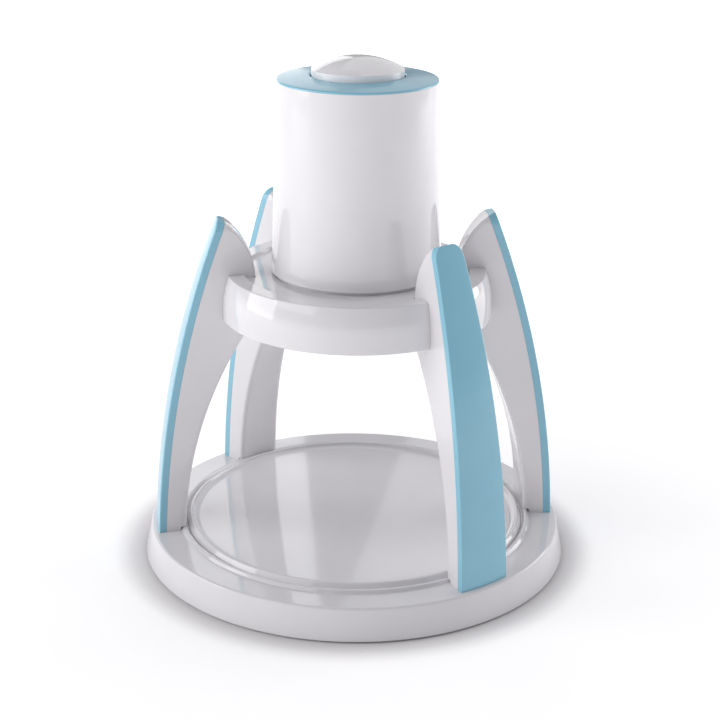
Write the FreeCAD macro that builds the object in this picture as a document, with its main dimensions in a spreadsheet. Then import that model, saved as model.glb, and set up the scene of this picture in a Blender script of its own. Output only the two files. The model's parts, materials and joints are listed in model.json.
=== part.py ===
"""Shaved ice machine: a round base, four curved legs with blue trims, a collar that holds the
blade deck and ice cup, and a lift-off motor unit with a dome press button on top.

Millimetres, +Z up.  The origin is on the resting surface, on the machine's vertical axis.
The front opening, where the bowl goes in, faces -Y.
"""
import FreeCAD, Part
import math
import os

import Sketcher
from FreeCAD import Placement, Rotation, Vector

doc = FreeCAD.newDocument("ShavedIceMachine")
sheet = doc.addObject("Spreadsheet::Sheet", "Dims")
SHEET_ROWS = []
PARTS = []
AXIS_Z = Vector(0, 0, 1)
ORIGIN = Vector(0, 0, 0)


# ---------------------------------------------------------------- sizes
class Size(float):
    """A number that remembers the spreadsheet expression it was worked out from."""

    def __new__(cls, value, text):
        self = super().__new__(cls, value)
        self.text = text
        return self

    def __add__(self, other):
        return joined(self, "+", other, float(self) + float(other))

    def __radd__(self, other):
        return joined(other, "+", self, float(other) + float(self))

    def __sub__(self, other):
        return joined(self, "-", other, float(self) - float(other))

    def __rsub__(self, other):
        return joined(other, "-", self, float(other) - float(self))

    def __mul__(self, other):
        return joined(self, "*", other, float(self) * float(other))

    def __rmul__(self, other):
        return joined(other, "*", self, float(other) * float(self))

    def __truediv__(self, other):
        return joined(self, "/", other, float(self) / float(other))

    def __neg__(self):
        return joined(0, "-", self, -float(self))


def text_of(number):
    """The expression behind a size, or the plain number."""
    return getattr(number, "text", None) or f"{float(number):.6f}"


def joined(left, sign, right, value):
    return Size(value, f"({text_of(left)} {sign} {text_of(right)})")


def size(alias, value):
    """Put one driving dimension in the sheet and return it."""
    row = len(SHEET_ROWS) + 1
    SHEET_ROWS.append(alias)
    sheet.set(f"A{row}", alias)
    sheet.set(f"B{row}", str(value))
    sheet.setAlias(f"B{row}", alias)
    return Size(value, f"Dims.{alias}")


# base
BASE_R = size("base_radius", 130.0)
BASE_TOP_R = size("base_top_radius", 125.9)
BASE_TOP = size("base_top_height", 19.8)
FOOT_H = size("foot_height", 1.6)
SKIRT_GAP = size("skirt_gap", 1.0)
WALL = size("shell_wall", 2.5)
BEAD_R = size("bead_radius", 107.0)
PLATE_R = size("plate_radius", 104.0)
PLATE_TOP = size("plate_height", 20.6)
FOOT_R = size("foot_radius", 9.0)
FOOT_PITCH_R = size("foot_pitch_radius", 110.0)

# legs
LEG_OUT_R = size("leg_outer_arc", 579.4)
LEG_OUT_X = size("leg_outer_arc_centre", 456.0)
LEG_OUT_Z = size("leg_outer_arc_drop", 3.0)
TRIM_T = size("trim_thickness", 4.6)
LEG_TOP = size("leg_top_height", 212.0)
LEG_IN_R = size("leg_inner_arc", 226.7)
LEG_IN_X = size("leg_inner_arc_centre", 120.9)
LEG_IN_Z = size("leg_inner_arc_height", 15.3)
LEG_ROOT_R = size("leg_root_radius", 60.5)
LEG_HEAD_R = size("leg_head_arc", 43.0)
LEG_HALF_TIP = size("leg_half_width_tip", 9.9)
LEG_SPREAD = size("leg_spread", 0.185)
TIP_ROUND = size("trim_tip_round", 7.0)
LEG_AZIMUTH = size("leg_azimuth", 60.0)

# collar
COLLAR_R = size("collar_radius", 80.7)
COLLAR_LOW = size("collar_bottom", 152.4)
COLLAR_TOP = size("collar_top", 179.0)
COLLAR_FLOOR = size("collar_recess_floor", 177.0)
LIP_IN_R = size("collar_lip_inner_radius", 67.3)
SEAT_R = size("collar_seat_radius", 48.8)
SEAT_Z = size("collar_seat_height", 170.5)
BORE_R = size("collar_bore_radius", 44.5)
DECK_Z = size("deck_height", 159.0)
DECK_T = size("deck_thickness", 4.0)

# ice cup
CUP_R = size("cup_radius", 42.0)
CUP_WALL = size("cup_wall", 2.0)
CUP_TOP = size("cup_top", 214.0)

# motor unit
HOUSE_R = size("housing_bottom_radius", 50.4)
HOUSE_TOP_R = size("housing_top_radius", 46.5)
HOUSE_LOW = size("housing_bottom", 178.7)
HOUSE_TOP = size("housing_top", 290.5)
HOUSE_WALL = size("housing_wall", 2.4)
SPIGOT_R = size("spigot_radius", 48.3)
SPIGOT_LOW = size("spigot_bottom", 172.0)
CAP_CROWN = size("cap_crown_height", 293.6)
WELL_R = size("button_well_radius", 27.2)
WELL_FLOOR = size("button_well_floor", 286.5)
BUTTON_R = size("button_radius", 26.7)
BUTTON_RIM = size("button_rim_height", 297.4)
BUTTON_TOP = size("button_top", 304.4)

# drive
MOTOR_Y = size("motor_offset", 25.0)
MOTOR_R = size("motor_radius", 17.0)
IDLER_REACH = size("idler_reach", 26.0)
GEAR_LOW = size("gear_layer_low", 229.0)
GEAR_HIGH = size("gear_layer_high", 236.5)
GEAR_T = size("gear_thickness", 6.0)
PLATE_LOW_Z = size("gearbox_lower_plate_z", 224.0)
PLATE_HIGH_Z = size("gearbox_upper_plate_z", 243.0)
SLEEVE_R = size("sleeve_radius", 7.0)
HEX_FLATS = size("hex_across_flats", 8.0)
PUSHER_R = size("pusher_radius", 38.5)
PUSHER_Z = size("pusher_height", 169.0)
SHAFT_TOP = size("pusher_shaft_top", 247.0)
SPRING_R = size("pusher_spring_radius", 12.5)
SPRING_TOP = size("pusher_spring_top", 221.5)

GAP = 0.12                      # clearance between a leg and its slot in the collar
LEG_SIDES = {"front_right": 1, "front_left": -1, "back_right": 2, "back_left": -2}
DRIVE_TEETH, IDLER_WHEEL_TEETH, PINION_TEETH = 40, 32, 12
MODULE = 1.0
PRESSURE_ANGLE = math.radians(25)
BACKLASH = 0.12                 # taken off the thickness of every tooth


# ---------------------------------------------------------------- sketch and body helpers
def new_body(label):
    body = doc.addObject("PartDesign::Body", label)
    body.Label = label
    body.Placement = Placement()
    PARTS.append(body)
    return body


def origin_item(body, role):
    return next(item for item in body.Origin.OriginFeatures if item.Role == role)


def new_sketch(body, plane="XZ", lift=0.0, turn=0.0):
    """A sketch on one of the body's planes.  turn swings an upright plane about the Z axis."""
    sketch = body.newObject("Sketcher::SketchObject", body.Name + "_sketch")
    sketch.AttachmentSupport = [(origin_item(body, plane + "_Plane"), "")]
    sketch.MapMode = "FlatFace"
    swing = Rotation(Vector(0, 1, 0), turn)
    sketch.AttachmentOffset = Placement(swing.multVec(Vector(0, 0, float(lift))), swing)
    if hasattr(lift, "text") and turn == 0.0:
        sketch.setExpression("AttachmentOffset.Base.z", lift.text)
    return sketch


def pin_value(sketch, kind, index, where, number):
    """Hold one coordinate of a point at a size from the sheet."""
    axis = -2 if kind == "DistanceX" else -1
    if float(number) == 0.0:
        sketch.addConstraint(Sketcher.Constraint("PointOnObject", index, where, axis))
        return
    held = sketch.addConstraint(Sketcher.Constraint(kind, -1, 1, index, where, float(number)))
    if hasattr(number, "text"):
        sketch.setExpression(f"Constraints[{held}]", number.text)


def arc_centre(start, end, radius):
    """Centre of the minor arc from start to end; a positive radius turns left."""
    middle = (start + end) * 0.5
    along = end - start
    reach = math.sqrt(max(radius * radius - along.Length ** 2 / 4, 0.0))
    left = Vector(-along.y, along.x, 0).normalize()
    return middle + left * (reach if radius > 0 else -reach)


def draw_outline(sketch, corners):
    """A closed outline.  A corner is (x, y), or (x, y, radius) where an arc leads to it."""
    points = [Vector(float(c[0]), float(c[1]), 0) for c in corners]
    ends = []
    for index, corner in enumerate(corners):
        start, end = points[index - 1], points[index]
        if len(corner) == 2:
            number = sketch.addGeometry(Part.LineSegment(start, end))
            ends.append((number, 1, 2))
            continue
        radius = float(corner[2])
        centre = arc_centre(start, end, radius)
        first, last = (start, end) if radius > 0 else (end, start)
        circle = Part.Circle(centre, AXIS_Z, abs(radius))
        angles = [math.atan2(p.y - centre.y, p.x - centre.x) for p in (first, last)]
        number = sketch.addGeometry(Part.ArcOfCircle(circle, *angles))
        ends.append((number, 1, 2) if radius > 0 else (number, 2, 1))
        held = sketch.addConstraint(Sketcher.Constraint("Radius", number, abs(radius)))
        if hasattr(corner[2], "text"):
            sign = "" if radius > 0 else "-"
            sketch.setExpression(f"Constraints[{held}]", sign + corner[2].text)
    for index, (number, _, tail) in enumerate(ends):
        following, head, _ = ends[(index + 1) % len(ends)]
        sketch.addConstraint(Sketcher.Constraint("Coincident", number, tail, following, head))
        pin_value(sketch, "DistanceX", number, tail, corners[index][0])
        pin_value(sketch, "DistanceY", number, tail, corners[index][1])


def draw_circles(sketch, centres, radius):
    for x, y in centres:
        number = sketch.addGeometry(Part.Circle(Vector(float(x), float(y), 0), AXIS_Z, float(radius)))
        held = sketch.addConstraint(Sketcher.Constraint("Radius", number, float(radius)))
        if hasattr(radius, "text"):
            sketch.setExpression(f"Constraints[{held}]", radius.text)
        pin_value(sketch, "DistanceX", number, 3, x)
        pin_value(sketch, "DistanceY", number, 3, y)


def revolve(body, corners, angle=360.0, midplane=False, turn=0.0):
    sketch = new_sketch(body, "XZ", turn=turn)
    draw_outline(sketch, corners)
    feature = body.newObject("PartDesign::Revolution", body.Name + "_revolution")
    feature.Profile = sketch
    feature.ReferenceAxis = (sketch, ["V_Axis"])
    feature.Angle = angle
    feature.Midplane = midplane
    return feature


def extrude(body, sketch, length, kind="Pad", reverse=False):
    feature = body.newObject("PartDesign::" + kind, f"{body.Name}_{kind.lower()}")
    feature.Profile = sketch
    feature.Length = float(length)
    if hasattr(length, "text"):
        feature.setExpression("Length", length.text)
    feature.Reversed = reverse
    return feature


def pad(body, corners, low, length, plane="XY"):
    sketch = new_sketch(body, plane, low)
    draw_outline(sketch, corners)
    return extrude(body, sketch, length)


def pad_circles(body, centres, radius, low, length, plane="XY", turn=0.0):
    sketch = new_sketch(body, plane, low, turn)
    draw_circles(sketch, centres, radius)
    return extrude(body, sketch, length)


def cut(body, corners, low, length, plane="XY"):
    """Cut the outline from low upwards by length, along the plane's normal."""
    sketch = new_sketch(body, plane, low)
    draw_outline(sketch, corners)
    return extrude(body, sketch, length, "Pocket", reverse=True)


def cut_circles(body, centres, radius, low, length, plane="XY", turn=0.0):
    sketch = new_sketch(body, plane, low, turn)
    draw_circles(sketch, centres, radius)
    return extrude(body, sketch, length, "Pocket", reverse=True)


def ring_points(radius, angles):
    """Points on a circle about the axis, at angles in degrees from +X."""
    return [(radius * math.cos(math.radians(a)), radius * math.sin(math.radians(a))) for a in angles]


def rectangle(x0, y0, x1, y1):
    return [(x1, y0), (x1, y1), (x0, y1), (x0, y0)]


def placed_feature(label, shape, placement=None):
    feature = doc.addObject("Part::Feature", label)
    feature.Label = label
    feature.Shape = shape
    feature.Placement = placement or Placement()
    PARTS.append(feature)
    return feature


def screws(label, centres, head_r, head_z, head_h, shank_r, shank_z, shank_h, drive_from_top):
    """Vertical screws that share one node: a head, a shank and a socket in the head."""
    body = new_body(label)
    pad_circles(body, centres, head_r, head_z, head_h)
    pad_circles(body, centres, shank_r, shank_z, shank_h)
    depth = 0.6
    low = head_z + head_h - depth if drive_from_top else head_z
    cut_circles(body, centres, head_r * 0.45, low, depth)
    return body


# ---------------------------------------------------------------- base
FOOT_ANGLES = [45, 135, 225, 315]
COVER_SCREW_ANGLES = [0, 60, 120, 180, 240, 300]
COVER_SCREW_R = size("cover_screw_pitch_radius", 99.0)
LEG_SCREW_R = size("leg_screw_pitch_radius", 114.5)
LEG_SCREW_HALF_ANGLE = 3.6
SHELL_FLOOR = BASE_TOP - 2.8
SHELL_TOP_INSIDE = BASE_TOP - 2.6


def leg_direction(side):
    """Angle from +X of a leg's centre plane.  Side 1 and 2 are right front and right back."""
    from_front = LEG_AZIMUTH if abs(side) == 1 else 180 - LEG_AZIMUTH
    return float(from_front) * (1 if side > 0 else -1) - 90.0


def leg_screw_points():
    angles = []
    for side in LEG_SIDES.values():
        centre = leg_direction(side)
        angles += [centre - LEG_SCREW_HALF_ANGLE, centre + LEG_SCREW_HALF_ANGLE]
    return ring_points(LEG_SCREW_R, angles)


def make_base_shell():
    body = new_body("base_shell")
    bead = BEAD_R
    edge = 1.4
    revolve(body, [
        (BASE_R, SKIRT_GAP),
        (BASE_TOP_R, BASE_TOP - edge),
        (BASE_TOP_R - edge, BASE_TOP, edge * 1.06),
        (bead + 2, BASE_TOP),
        (bead, BASE_TOP + 2, 2.01),
        (bead - 2, BASE_TOP, 2.01),
        (PLATE_R + 0.3, BASE_TOP),
        (PLATE_R + 0.3, SHELL_FLOOR),
        (0, SHELL_FLOOR),
        (0, SHELL_FLOOR - WALL),
        (bead + 0.5, SHELL_FLOOR - WALL),
        (bead + 0.5, SHELL_TOP_INSIDE),
        (BASE_TOP_R - 3.3, SHELL_TOP_INSIDE),
        (BASE_R - 3.1, SKIRT_GAP),
    ])
    cover_points = ring_points(COVER_SCREW_R, COVER_SCREW_ANGLES)
    boss_low = FOOT_H + 2.0
    pad_circles(body, cover_points, 4.0, boss_low, SHELL_FLOOR - WALL + 0.5 - boss_low)
    cut_circles(body, cover_points, 1.55, boss_low - 1, 9.0)
    cut_circles(body, leg_screw_points(), 2.0, SHELL_TOP_INSIDE - 1, 5.0)
    return body


def make_base_cover():
    body = new_body("base_bottom_cover")
    pad_circles(body, [(0, 0)], BASE_R - 4.6, FOOT_H, 2.0)
    points = ring_points(COVER_SCREW_R, COVER_SCREW_ANGLES)
    cut_circles(body, points, 1.7, FOOT_H - 1, 5.0)
    cut_circles(body, points, 3.3, FOOT_H - 1, 2.3)
    return body


def make_feet():
    body = new_body("rubber_feet")
    pad_circles(body, ring_points(FOOT_PITCH_R, FOOT_ANGLES), FOOT_R, 0.0, FOOT_H)
    return body


def make_serving_plate():
    body = new_body("serving_plate")
    floor = PLATE_TOP
    rim = PLATE_R
    revolve(body, [
        (rim - 7, floor),
        (rim - 4, floor + 0.9, 6.0),
        (rim - 2.6, floor + 2.6, 1.9),
        (rim - 1.1, floor + 1.6, 1.5),
        (rim, floor - 0.4),
        (rim, SHELL_FLOOR),
        (rim - 1.8, SHELL_FLOOR),
        (rim - 1.8, floor - 0.2),
        (rim - 5, floor - 1.7),
        (30, floor - 1.7),
        (30, SHELL_FLOOR),
        (0, SHELL_FLOOR),
        (0, floor),
    ])
    return body


# ---------------------------------------------------------------- legs
def outer_arc_x(z, radius):
    """Distance from the axis of the leg's outer arc, or of one parallel to it, at a height."""
    rise = z + LEG_OUT_Z
    return Size(math.sqrt(radius ** 2 - rise ** 2) - LEG_OUT_X,
                f"(sqrt({text_of(radius)}^2 - {rise.text}^2) - {LEG_OUT_X.text})")


def inner_arc_x(z):
    rise = z - LEG_IN_Z
    return Size(math.sqrt(LEG_IN_R ** 2 - rise ** 2) - LEG_IN_X,
                f"(sqrt({LEG_IN_R.text}^2 - {rise.text}^2) - {LEG_IN_X.text})")


def half_width(x):
    """Half the leg's width at a distance from the axis: the legs spread towards their feet."""
    return LEG_HALF_TIP + (x - outer_arc_x(LEG_TOP, LEG_OUT_R)) * LEG_SPREAD


TIP_X = outer_arc_x(LEG_TOP, LEG_OUT_R)
SEAM_R = LEG_OUT_R - TRIM_T
TIP_TILT = (LEG_TOP + LEG_OUT_Z) / LEG_OUT_R
SEAM_TOP_Z = SEAM_R * TIP_TILT - LEG_OUT_Z
SEAM_TOP_X = outer_arc_x(SEAM_TOP_Z, SEAM_R)


def taper_sides(body):
    """Cut a leg or trim, standing along +X, to its tapered plan."""
    near, far = 50.0, 130.0
    for side in (1, -1):
        corners = [(near, half_width(near) * side), (far, half_width(far) * side),
                   (far, 40.0 * side), (near, 40.0 * side)]
        cut(body, corners, 0.0, 230.0)


def round_tip(body):
    """Round the two top corners, seen along the leg's radius."""
    for side in (1, -1):
        edge = LEG_HALF_TIP * side
        inner = (LEG_HALF_TIP - TIP_ROUND) * side
        corners = [(edge * 2, LEG_TOP + 5), (inner, LEG_TOP + 5), (inner, LEG_TOP),
                   (edge, LEG_TOP - TIP_ROUND, -TIP_ROUND * side), (edge * 2, LEG_TOP - TIP_ROUND)]
        cut(body, corners, 40.0, 100.0, plane="YZ")


def soften_inner_edges(body, low, high):
    """Round the two long edges of a leg's inner face between two heights."""
    doc.recompute()
    tip = body.Tip
    names = []
    for number, edge in enumerate(tip.Shape.Edges):
        box = edge.BoundBox
        middle = edge.valueAt((edge.FirstParameter + edge.LastParameter) / 2)
        on_side = abs(middle.y) > float(half_width(middle.x)) - 0.5
        on_seam = math.hypot(middle.x + LEG_OUT_X, middle.z + LEG_OUT_Z) > SEAM_R - 1.0
        if on_side and not on_seam and box.ZLength > 15 and low < middle.z < high:
            names.append(f"Edge{number + 1}")
    fillet = body.newObject("PartDesign::Fillet", body.Name + "_fillet")
    fillet.Base = (tip, names)
    fillet.Radius = 2.2


def make_leg(name, side):
    body = new_body("leg_" + name)
    under_collar = LEG_IN_Z + 136.4
    bead_top = BASE_TOP + 2.2
    revolve(body, [
        (outer_arc_x(BASE_TOP, SEAM_R), BASE_TOP),
        (SEAM_TOP_X, SEAM_TOP_Z, SEAM_R),
        (LEG_ROOT_R, COLLAR_TOP, LEG_HEAD_R),
        (LEG_ROOT_R, under_collar),
        (inner_arc_x(bead_top), bead_top, -LEG_IN_R),
        (BEAD_R + 2.3, bead_top),
        (BEAD_R + 2.3, BASE_TOP),
    ], angle=34.0, midplane=True)
    taper_sides(body)
    soften_inner_edges(body, 30, 150)
    soften_inner_edges(body, 180, 215)
    round_tip(body)
    holes = ring_points(LEG_SCREW_R, [-LEG_SCREW_HALF_ANGLE, LEG_SCREW_HALF_ANGLE])
    cut_circles(body, holes, 1.55, BASE_TOP - 1, 13.0)
    cut_circles(body, COLLAR_SCREW_YZ, 1.55, LEG_ROOT_R - 3, 14.0, plane="YZ")
    body.Placement = Placement(ORIGIN, Rotation(AXIS_Z, leg_direction(side)))
    return body


def make_trim(name, side):
    body = new_body("leg_trim_" + name)
    seam = SEAM_R + 0.02
    revolve(body, [
        (outer_arc_x(BASE_TOP, LEG_OUT_R), BASE_TOP),
        (TIP_X, LEG_TOP, LEG_OUT_R),
        (SEAM_TOP_X + 0.02, SEAM_TOP_Z),
        (outer_arc_x(BASE_TOP, seam), BASE_TOP, -seam),
    ], angle=34.0, midplane=True)
    taper_sides(body)
    round_tip(body)
    body.Placement = Placement(ORIGIN, Rotation(AXIS_Z, leg_direction(side)))
    return body


COLLAR_SCREW_YZ = [(0, COLLAR_LOW + 8), (0, COLLAR_LOW + 17)]


def make_leg_collar_screws():
    """Two screws into each leg, driven outwards from inside the collar."""
    body = new_body("leg_collar_screws")
    seat = LEG_ROOT_R - 3.2
    head_h, shank_h = 2.0, 13.6
    for side in LEG_SIDES.values():
        turn = leg_direction(side)
        pad_circles(body, COLLAR_SCREW_YZ, 3.0, seat - head_h, head_h, "YZ", turn)
        pad_circles(body, COLLAR_SCREW_YZ, 1.5, seat, shank_h, "YZ", turn)
        cut_circles(body, COLLAR_SCREW_YZ, 1.3, seat - head_h - 1.0, 1.8, "YZ", turn)
    return body


# ---------------------------------------------------------------- collar
COLLAR_SCREW_ANGLES = [0, 90, 180, 270]
DECK_SCREW_ANGLES = [90, 210, 330]
DECK_SCREW_R = BORE_R - 2.2


def leg_slot(side, near, gap):
    """Plan of the slot that a leg passes through, from the distance near outwards."""
    far = COLLAR_R + 4
    turn = math.radians(leg_direction(side))
    corners = [(near, -half_width(near) - gap), (far, -half_width(far) - gap),
               (far, half_width(far) + gap), (near, half_width(near) + gap)]
    return [(x * math.cos(turn) - y * math.sin(turn), x * math.sin(turn) + y * math.cos(turn))
            for x, y in corners]


def make_collar():
    body = new_body("collar_ring")
    wall = 3.0
    belly = COLLAR_LOW + 5.6
    cavity_top = COLLAR_TOP - 5.2
    revolve(body, [
        (COLLAR_R - 0.8, COLLAR_LOW),
        (COLLAR_R, COLLAR_LOW + 0.8, 0.8),
        (COLLAR_R, belly),
        (COLLAR_R - 3.5, COLLAR_TOP - 1.1, 57.2),
        (COLLAR_R - 4.5, COLLAR_TOP, 1.2),
        (LIP_IN_R + 0.4, COLLAR_TOP),
        (LIP_IN_R, COLLAR_TOP - 0.4, 0.42),
        (LIP_IN_R - 0.5, COLLAR_FLOOR),
        (SEAT_R, COLLAR_FLOOR),
        (SEAT_R, SEAT_Z),
        (BORE_R, SEAT_Z),
        (BORE_R, DECK_Z),
        (BORE_R - 3.5, DECK_Z),
        (BORE_R - 3.5, COLLAR_LOW + 2),
        (BORE_R + 3.0, COLLAR_LOW + 2),
        (BORE_R + 3.0, SEAT_Z - 3),
        (SEAT_R + 2.7, SEAT_Z - 1),
        (SEAT_R + 2.7, cavity_top),
        (LEG_ROOT_R - 3.1, cavity_top),
        (LEG_ROOT_R - 3.1, COLLAR_LOW + 2),
        (LEG_ROOT_R - 0.1, COLLAR_LOW + 2),
        (LEG_ROOT_R - 0.1, cavity_top),
        (COLLAR_R - 6.2, cavity_top),
        (COLLAR_R - wall, belly, -54.2),
        (COLLAR_R - wall, COLLAR_LOW),
    ])
    for side in LEG_SIDES.values():
        cut(body, leg_slot(side, LEG_ROOT_R - 0.1, GAP), COLLAR_LOW - 1, 30.0)
        cut_circles(body, COLLAR_SCREW_YZ, 1.6, LEG_ROOT_R - 4, 5.0, "YZ", leg_direction(side))
    points = ring_points(SEAT_R + 5.6, COLLAR_SCREW_ANGLES)
    pad_circles(body, points, 3.4, COLLAR_LOW + 2, cavity_top + 1 - COLLAR_LOW - 2)
    cut_circles(body, points, 1.3, COLLAR_LOW + 1, 12.0)
    cut_circles(body, ring_points(DECK_SCREW_R, DECK_SCREW_ANGLES), 0.95, COLLAR_LOW + 1, 8.0)
    return body


def make_collar_cover():
    body = new_body("collar_bottom_cover")
    inner = BORE_R - 3.2
    low = COLLAR_LOW + 0.2
    pad_circles(body, [(0, 0)], COLLAR_R - 3.2, low, 1.8)
    cut_circles(body, [(0, 0)], inner, low - 1, 5.0)
    for side in LEG_SIDES.values():
        cut(body, leg_slot(side, LEG_ROOT_R - 0.6, 0.2), low - 1, 5.0)
    points = ring_points(SEAT_R + 5.6, COLLAR_SCREW_ANGLES)
    cut_circles(body, points, 1.5, low - 1, 5.0)
    cut_circles(body, points, 2.6, low - 1, 2.0)
    return body


def make_chute():
    body = new_body("discharge_chute")
    top, low = DECK_Z - 0.2, COLLAR_LOW + 0.4
    outer = BORE_R - 3.7
    revolve(body, [(outer, top - 1.5), (outer, top), (outer - 1.6, top), (34.4, low), (36.0, low)])
    return body


BLADE_TILT = 10.0
BLADE_BACK_Y, BLADE_Z = -10.4, 160.0
BLADE_X0, BLADE_X1 = 5.0, 39.5
BLADE_DEEP, BLADE_T = 12.6, 1.2
BLADE_SCREW_XY = [(10.0, 4.0), (31.0, 4.0)]


def blade_place():
    return Placement(Vector(0, BLADE_BACK_Y, BLADE_Z), Rotation(Vector(1, 0, 0), BLADE_TILT))


def make_blade_plate():
    """The fixed deck that the ice turns on, with a tilted blade seat and a slot for the ice."""
    body = new_body("blade_plate")
    pad_circles(body, [(0, 0)], BORE_R - 0.1, DECK_Z, DECK_T)
    for x, y in BLADE_SCREW_XY:
        pad_circles(body, [(x, BLADE_BACK_Y + y)], 3.0, DECK_Z - 4, 4.5)
    cut(body, rectangle(8.0, -1.2, 38.0, 7.0), DECK_Z - 1, DECK_T + 2)
    tilt = math.radians(BLADE_TILT)
    run = BLADE_DEEP + 0.4
    seat_end = (BLADE_BACK_Y + run * math.cos(tilt), BLADE_Z + run * math.sin(tilt))
    top = 164.5
    cut(body, [seat_end, (seat_end[0], top), (BLADE_BACK_Y - 0.5, top),
               (BLADE_BACK_Y - 0.5, BLADE_Z - 0.5 * math.tan(tilt))], BLADE_X0 - 0.2,
        BLADE_X1 - BLADE_X0 + 0.4, plane="YZ")
    cut_circles(body, [(x, BLADE_BACK_Y + y * math.cos(tilt) + 0.25) for x, y in BLADE_SCREW_XY],
                2.0, DECK_Z - 3.5, 7.0)
    cut_circles(body, ring_points(DECK_SCREW_R, DECK_SCREW_ANGLES), 1.1, DECK_Z - 1, 6.0)
    cut_circles(body, ring_points(DECK_SCREW_R, DECK_SCREW_ANGLES), 1.7, DECK_Z + DECK_T - 1.4, 3.0)
    return body


def make_blade():
    """Chisel blade: flat on top, bevelled below, laid in its tilted seat."""
    body = new_body("shaving_blade")
    pad(body, [(0, 0), (BLADE_DEEP - 2.4, 0), (BLADE_DEEP, BLADE_T), (0, BLADE_T)],
        BLADE_X0, BLADE_X1 - BLADE_X0, plane="YZ")
    cut_circles(body, BLADE_SCREW_XY, 1.6, -1.0, 4.0)
    body.Placement = blade_place()
    return body


def make_ice_cup():
    body = new_body("ice_cup")
    low = DECK_Z + DECK_T
    revolve(body, [
        (BORE_R - 0.3, low), (BORE_R - 0.3, low + 2), (CUP_R, low + 2),
        (CUP_R, CUP_TOP - 0.6), (CUP_R - 0.6, CUP_TOP, 0.61), (CUP_R - CUP_WALL + 0.3, CUP_TOP),
        (CUP_R - CUP_WALL, CUP_TOP - 0.4, 0.42), (CUP_R - CUP_WALL, low),
    ])
    return body


def make_damper():
    body = new_body("seat_damper_ring")
    revolve(body, [(SEAT_R - 0.2, SEAT_Z), (SEAT_R - 0.2, SPIGOT_LOW),
                   (SEAT_R - 3.4, SPIGOT_LOW), (SEAT_R - 3.4, SEAT_Z)])
    return body


# ---------------------------------------------------------------- motor unit
GEARBOX_BOSS_ANGLES = [50, 130, 270]
GEARBOX_BOSS_R = size("gearbox_boss_pitch_radius", 43.0)
POST_ANGLES = [20, 90, 160, 235]
INLET_Z = 262.0
STEM_XY, STEM_LOW = (-16.0, 8.0), 283.4
SWITCH_X0, SWITCH_X1 = -25.0, -7.0
SWITCH_LOW, SWITCH_TOP = 272.0, 279.8
SWITCH_HALF_W = 3.2


def housing_x(z):
    """Radius of the housing's tapered outside at a height."""
    rate = (HOUSE_R - HOUSE_TOP_R) / (HOUSE_TOP - HOUSE_LOW)
    return HOUSE_R - rate * (z - HOUSE_LOW)


def make_housing():
    body = new_body("housing_shell")
    inside_low = HOUSE_LOW + 3.0
    revolve(body, [
        (SPIGOT_R, SPIGOT_LOW),
        (SPIGOT_R, HOUSE_LOW),
        (HOUSE_R - 0.7, HOUSE_LOW),
        (housing_x(HOUSE_LOW + 0.7), HOUSE_LOW + 0.7, 0.72),
        (HOUSE_TOP_R, HOUSE_TOP),
        (HOUSE_TOP_R - HOUSE_WALL, HOUSE_TOP),
        (housing_x(inside_low) - HOUSE_WALL, inside_low),
        (SPIGOT_R - HOUSE_WALL, HOUSE_LOW),
        (SPIGOT_R - HOUSE_WALL, SPIGOT_LOW),
    ])
    low = CUP_TOP + 2
    points = ring_points(GEARBOX_BOSS_R, GEARBOX_BOSS_ANGLES)
    pad_circles(body, points, 4.2, low, PLATE_LOW_Z - low)
    cut_circles(body, points, 1.3, low + 1, 12.0)
    cut(body, rectangle(-11.1, 30.0, 11.1, 60.0), INLET_Z - 8.1, 16.2)
    return body


def make_cap():
    body = new_body("top_cap")
    under = WELL_FLOOR - 2.0
    revolve(body, [
        (HOUSE_TOP_R, HOUSE_TOP),
        (HOUSE_TOP_R - 0.1, HOUSE_TOP + 0.7),
        (HOUSE_TOP_R - 0.8, HOUSE_TOP + 1.3, 0.8),
        (WELL_R + 0.8, CAP_CROWN, 260.0),
        (WELL_R, CAP_CROWN - 0.7, 0.85),
        (WELL_R, WELL_FLOOR),
        (0, WELL_FLOOR),
        (0, under),
        (WELL_R + 2, under),
        (WELL_R + 2, HOUSE_TOP - 1.0),
        (HOUSE_TOP_R - HOUSE_WALL - 2.2, HOUSE_TOP - 1.0),
        (HOUSE_TOP_R - HOUSE_WALL - 2.2, HOUSE_TOP - 4.5),
        (HOUSE_TOP_R - HOUSE_WALL - 0.4, HOUSE_TOP - 4.5),
        (HOUSE_TOP_R - HOUSE_WALL - 0.2, HOUSE_TOP),
    ])
    cut_circles(body, [STEM_XY], 2.4, under - 1, 5.0)
    clip_low = SWITCH_LOW - 1.0
    y = STEM_XY[1]
    for x in (SWITCH_X0 - 2.2, SWITCH_X1 + 0.1):
        pad(body, rectangle(x, y - SWITCH_HALF_W, x + 2.1, y + SWITCH_HALF_W),
            clip_low, under + 0.5 - clip_low)
    return body


def make_button():
    """Dome press button: a domed cap with a skirt, a spring boss and a stem for the switch."""
    body = new_body("dome_button")
    skirt_low = WELL_FLOOR + 3.6
    edge = 0.5
    top_r = BUTTON_R - edge
    rise = BUTTON_TOP - BUTTON_RIM
    dome = (top_r * top_r + rise * rise) / (2 * rise)
    wall = 1.8
    inner_r = BUTTON_R - wall
    revolve(body, [
        (BUTTON_R, skirt_low),
        (BUTTON_R, BUTTON_RIM - edge),
        (BUTTON_R - edge, BUTTON_RIM, edge * 1.05),
        (0, BUTTON_TOP, dome),
        (0, BUTTON_RIM - 1.2),
        (5.0, BUTTON_RIM - 1.2),
        (5.0, BUTTON_RIM + 2.6),
        (6.5, BUTTON_RIM + 2.6),
        (inner_r, BUTTON_RIM - 1.2),
        (inner_r, skirt_low),
    ])
    pad_circles(body, [STEM_XY], 2.0, STEM_LOW, BUTTON_RIM + 2 - STEM_LOW)
    return body


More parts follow.
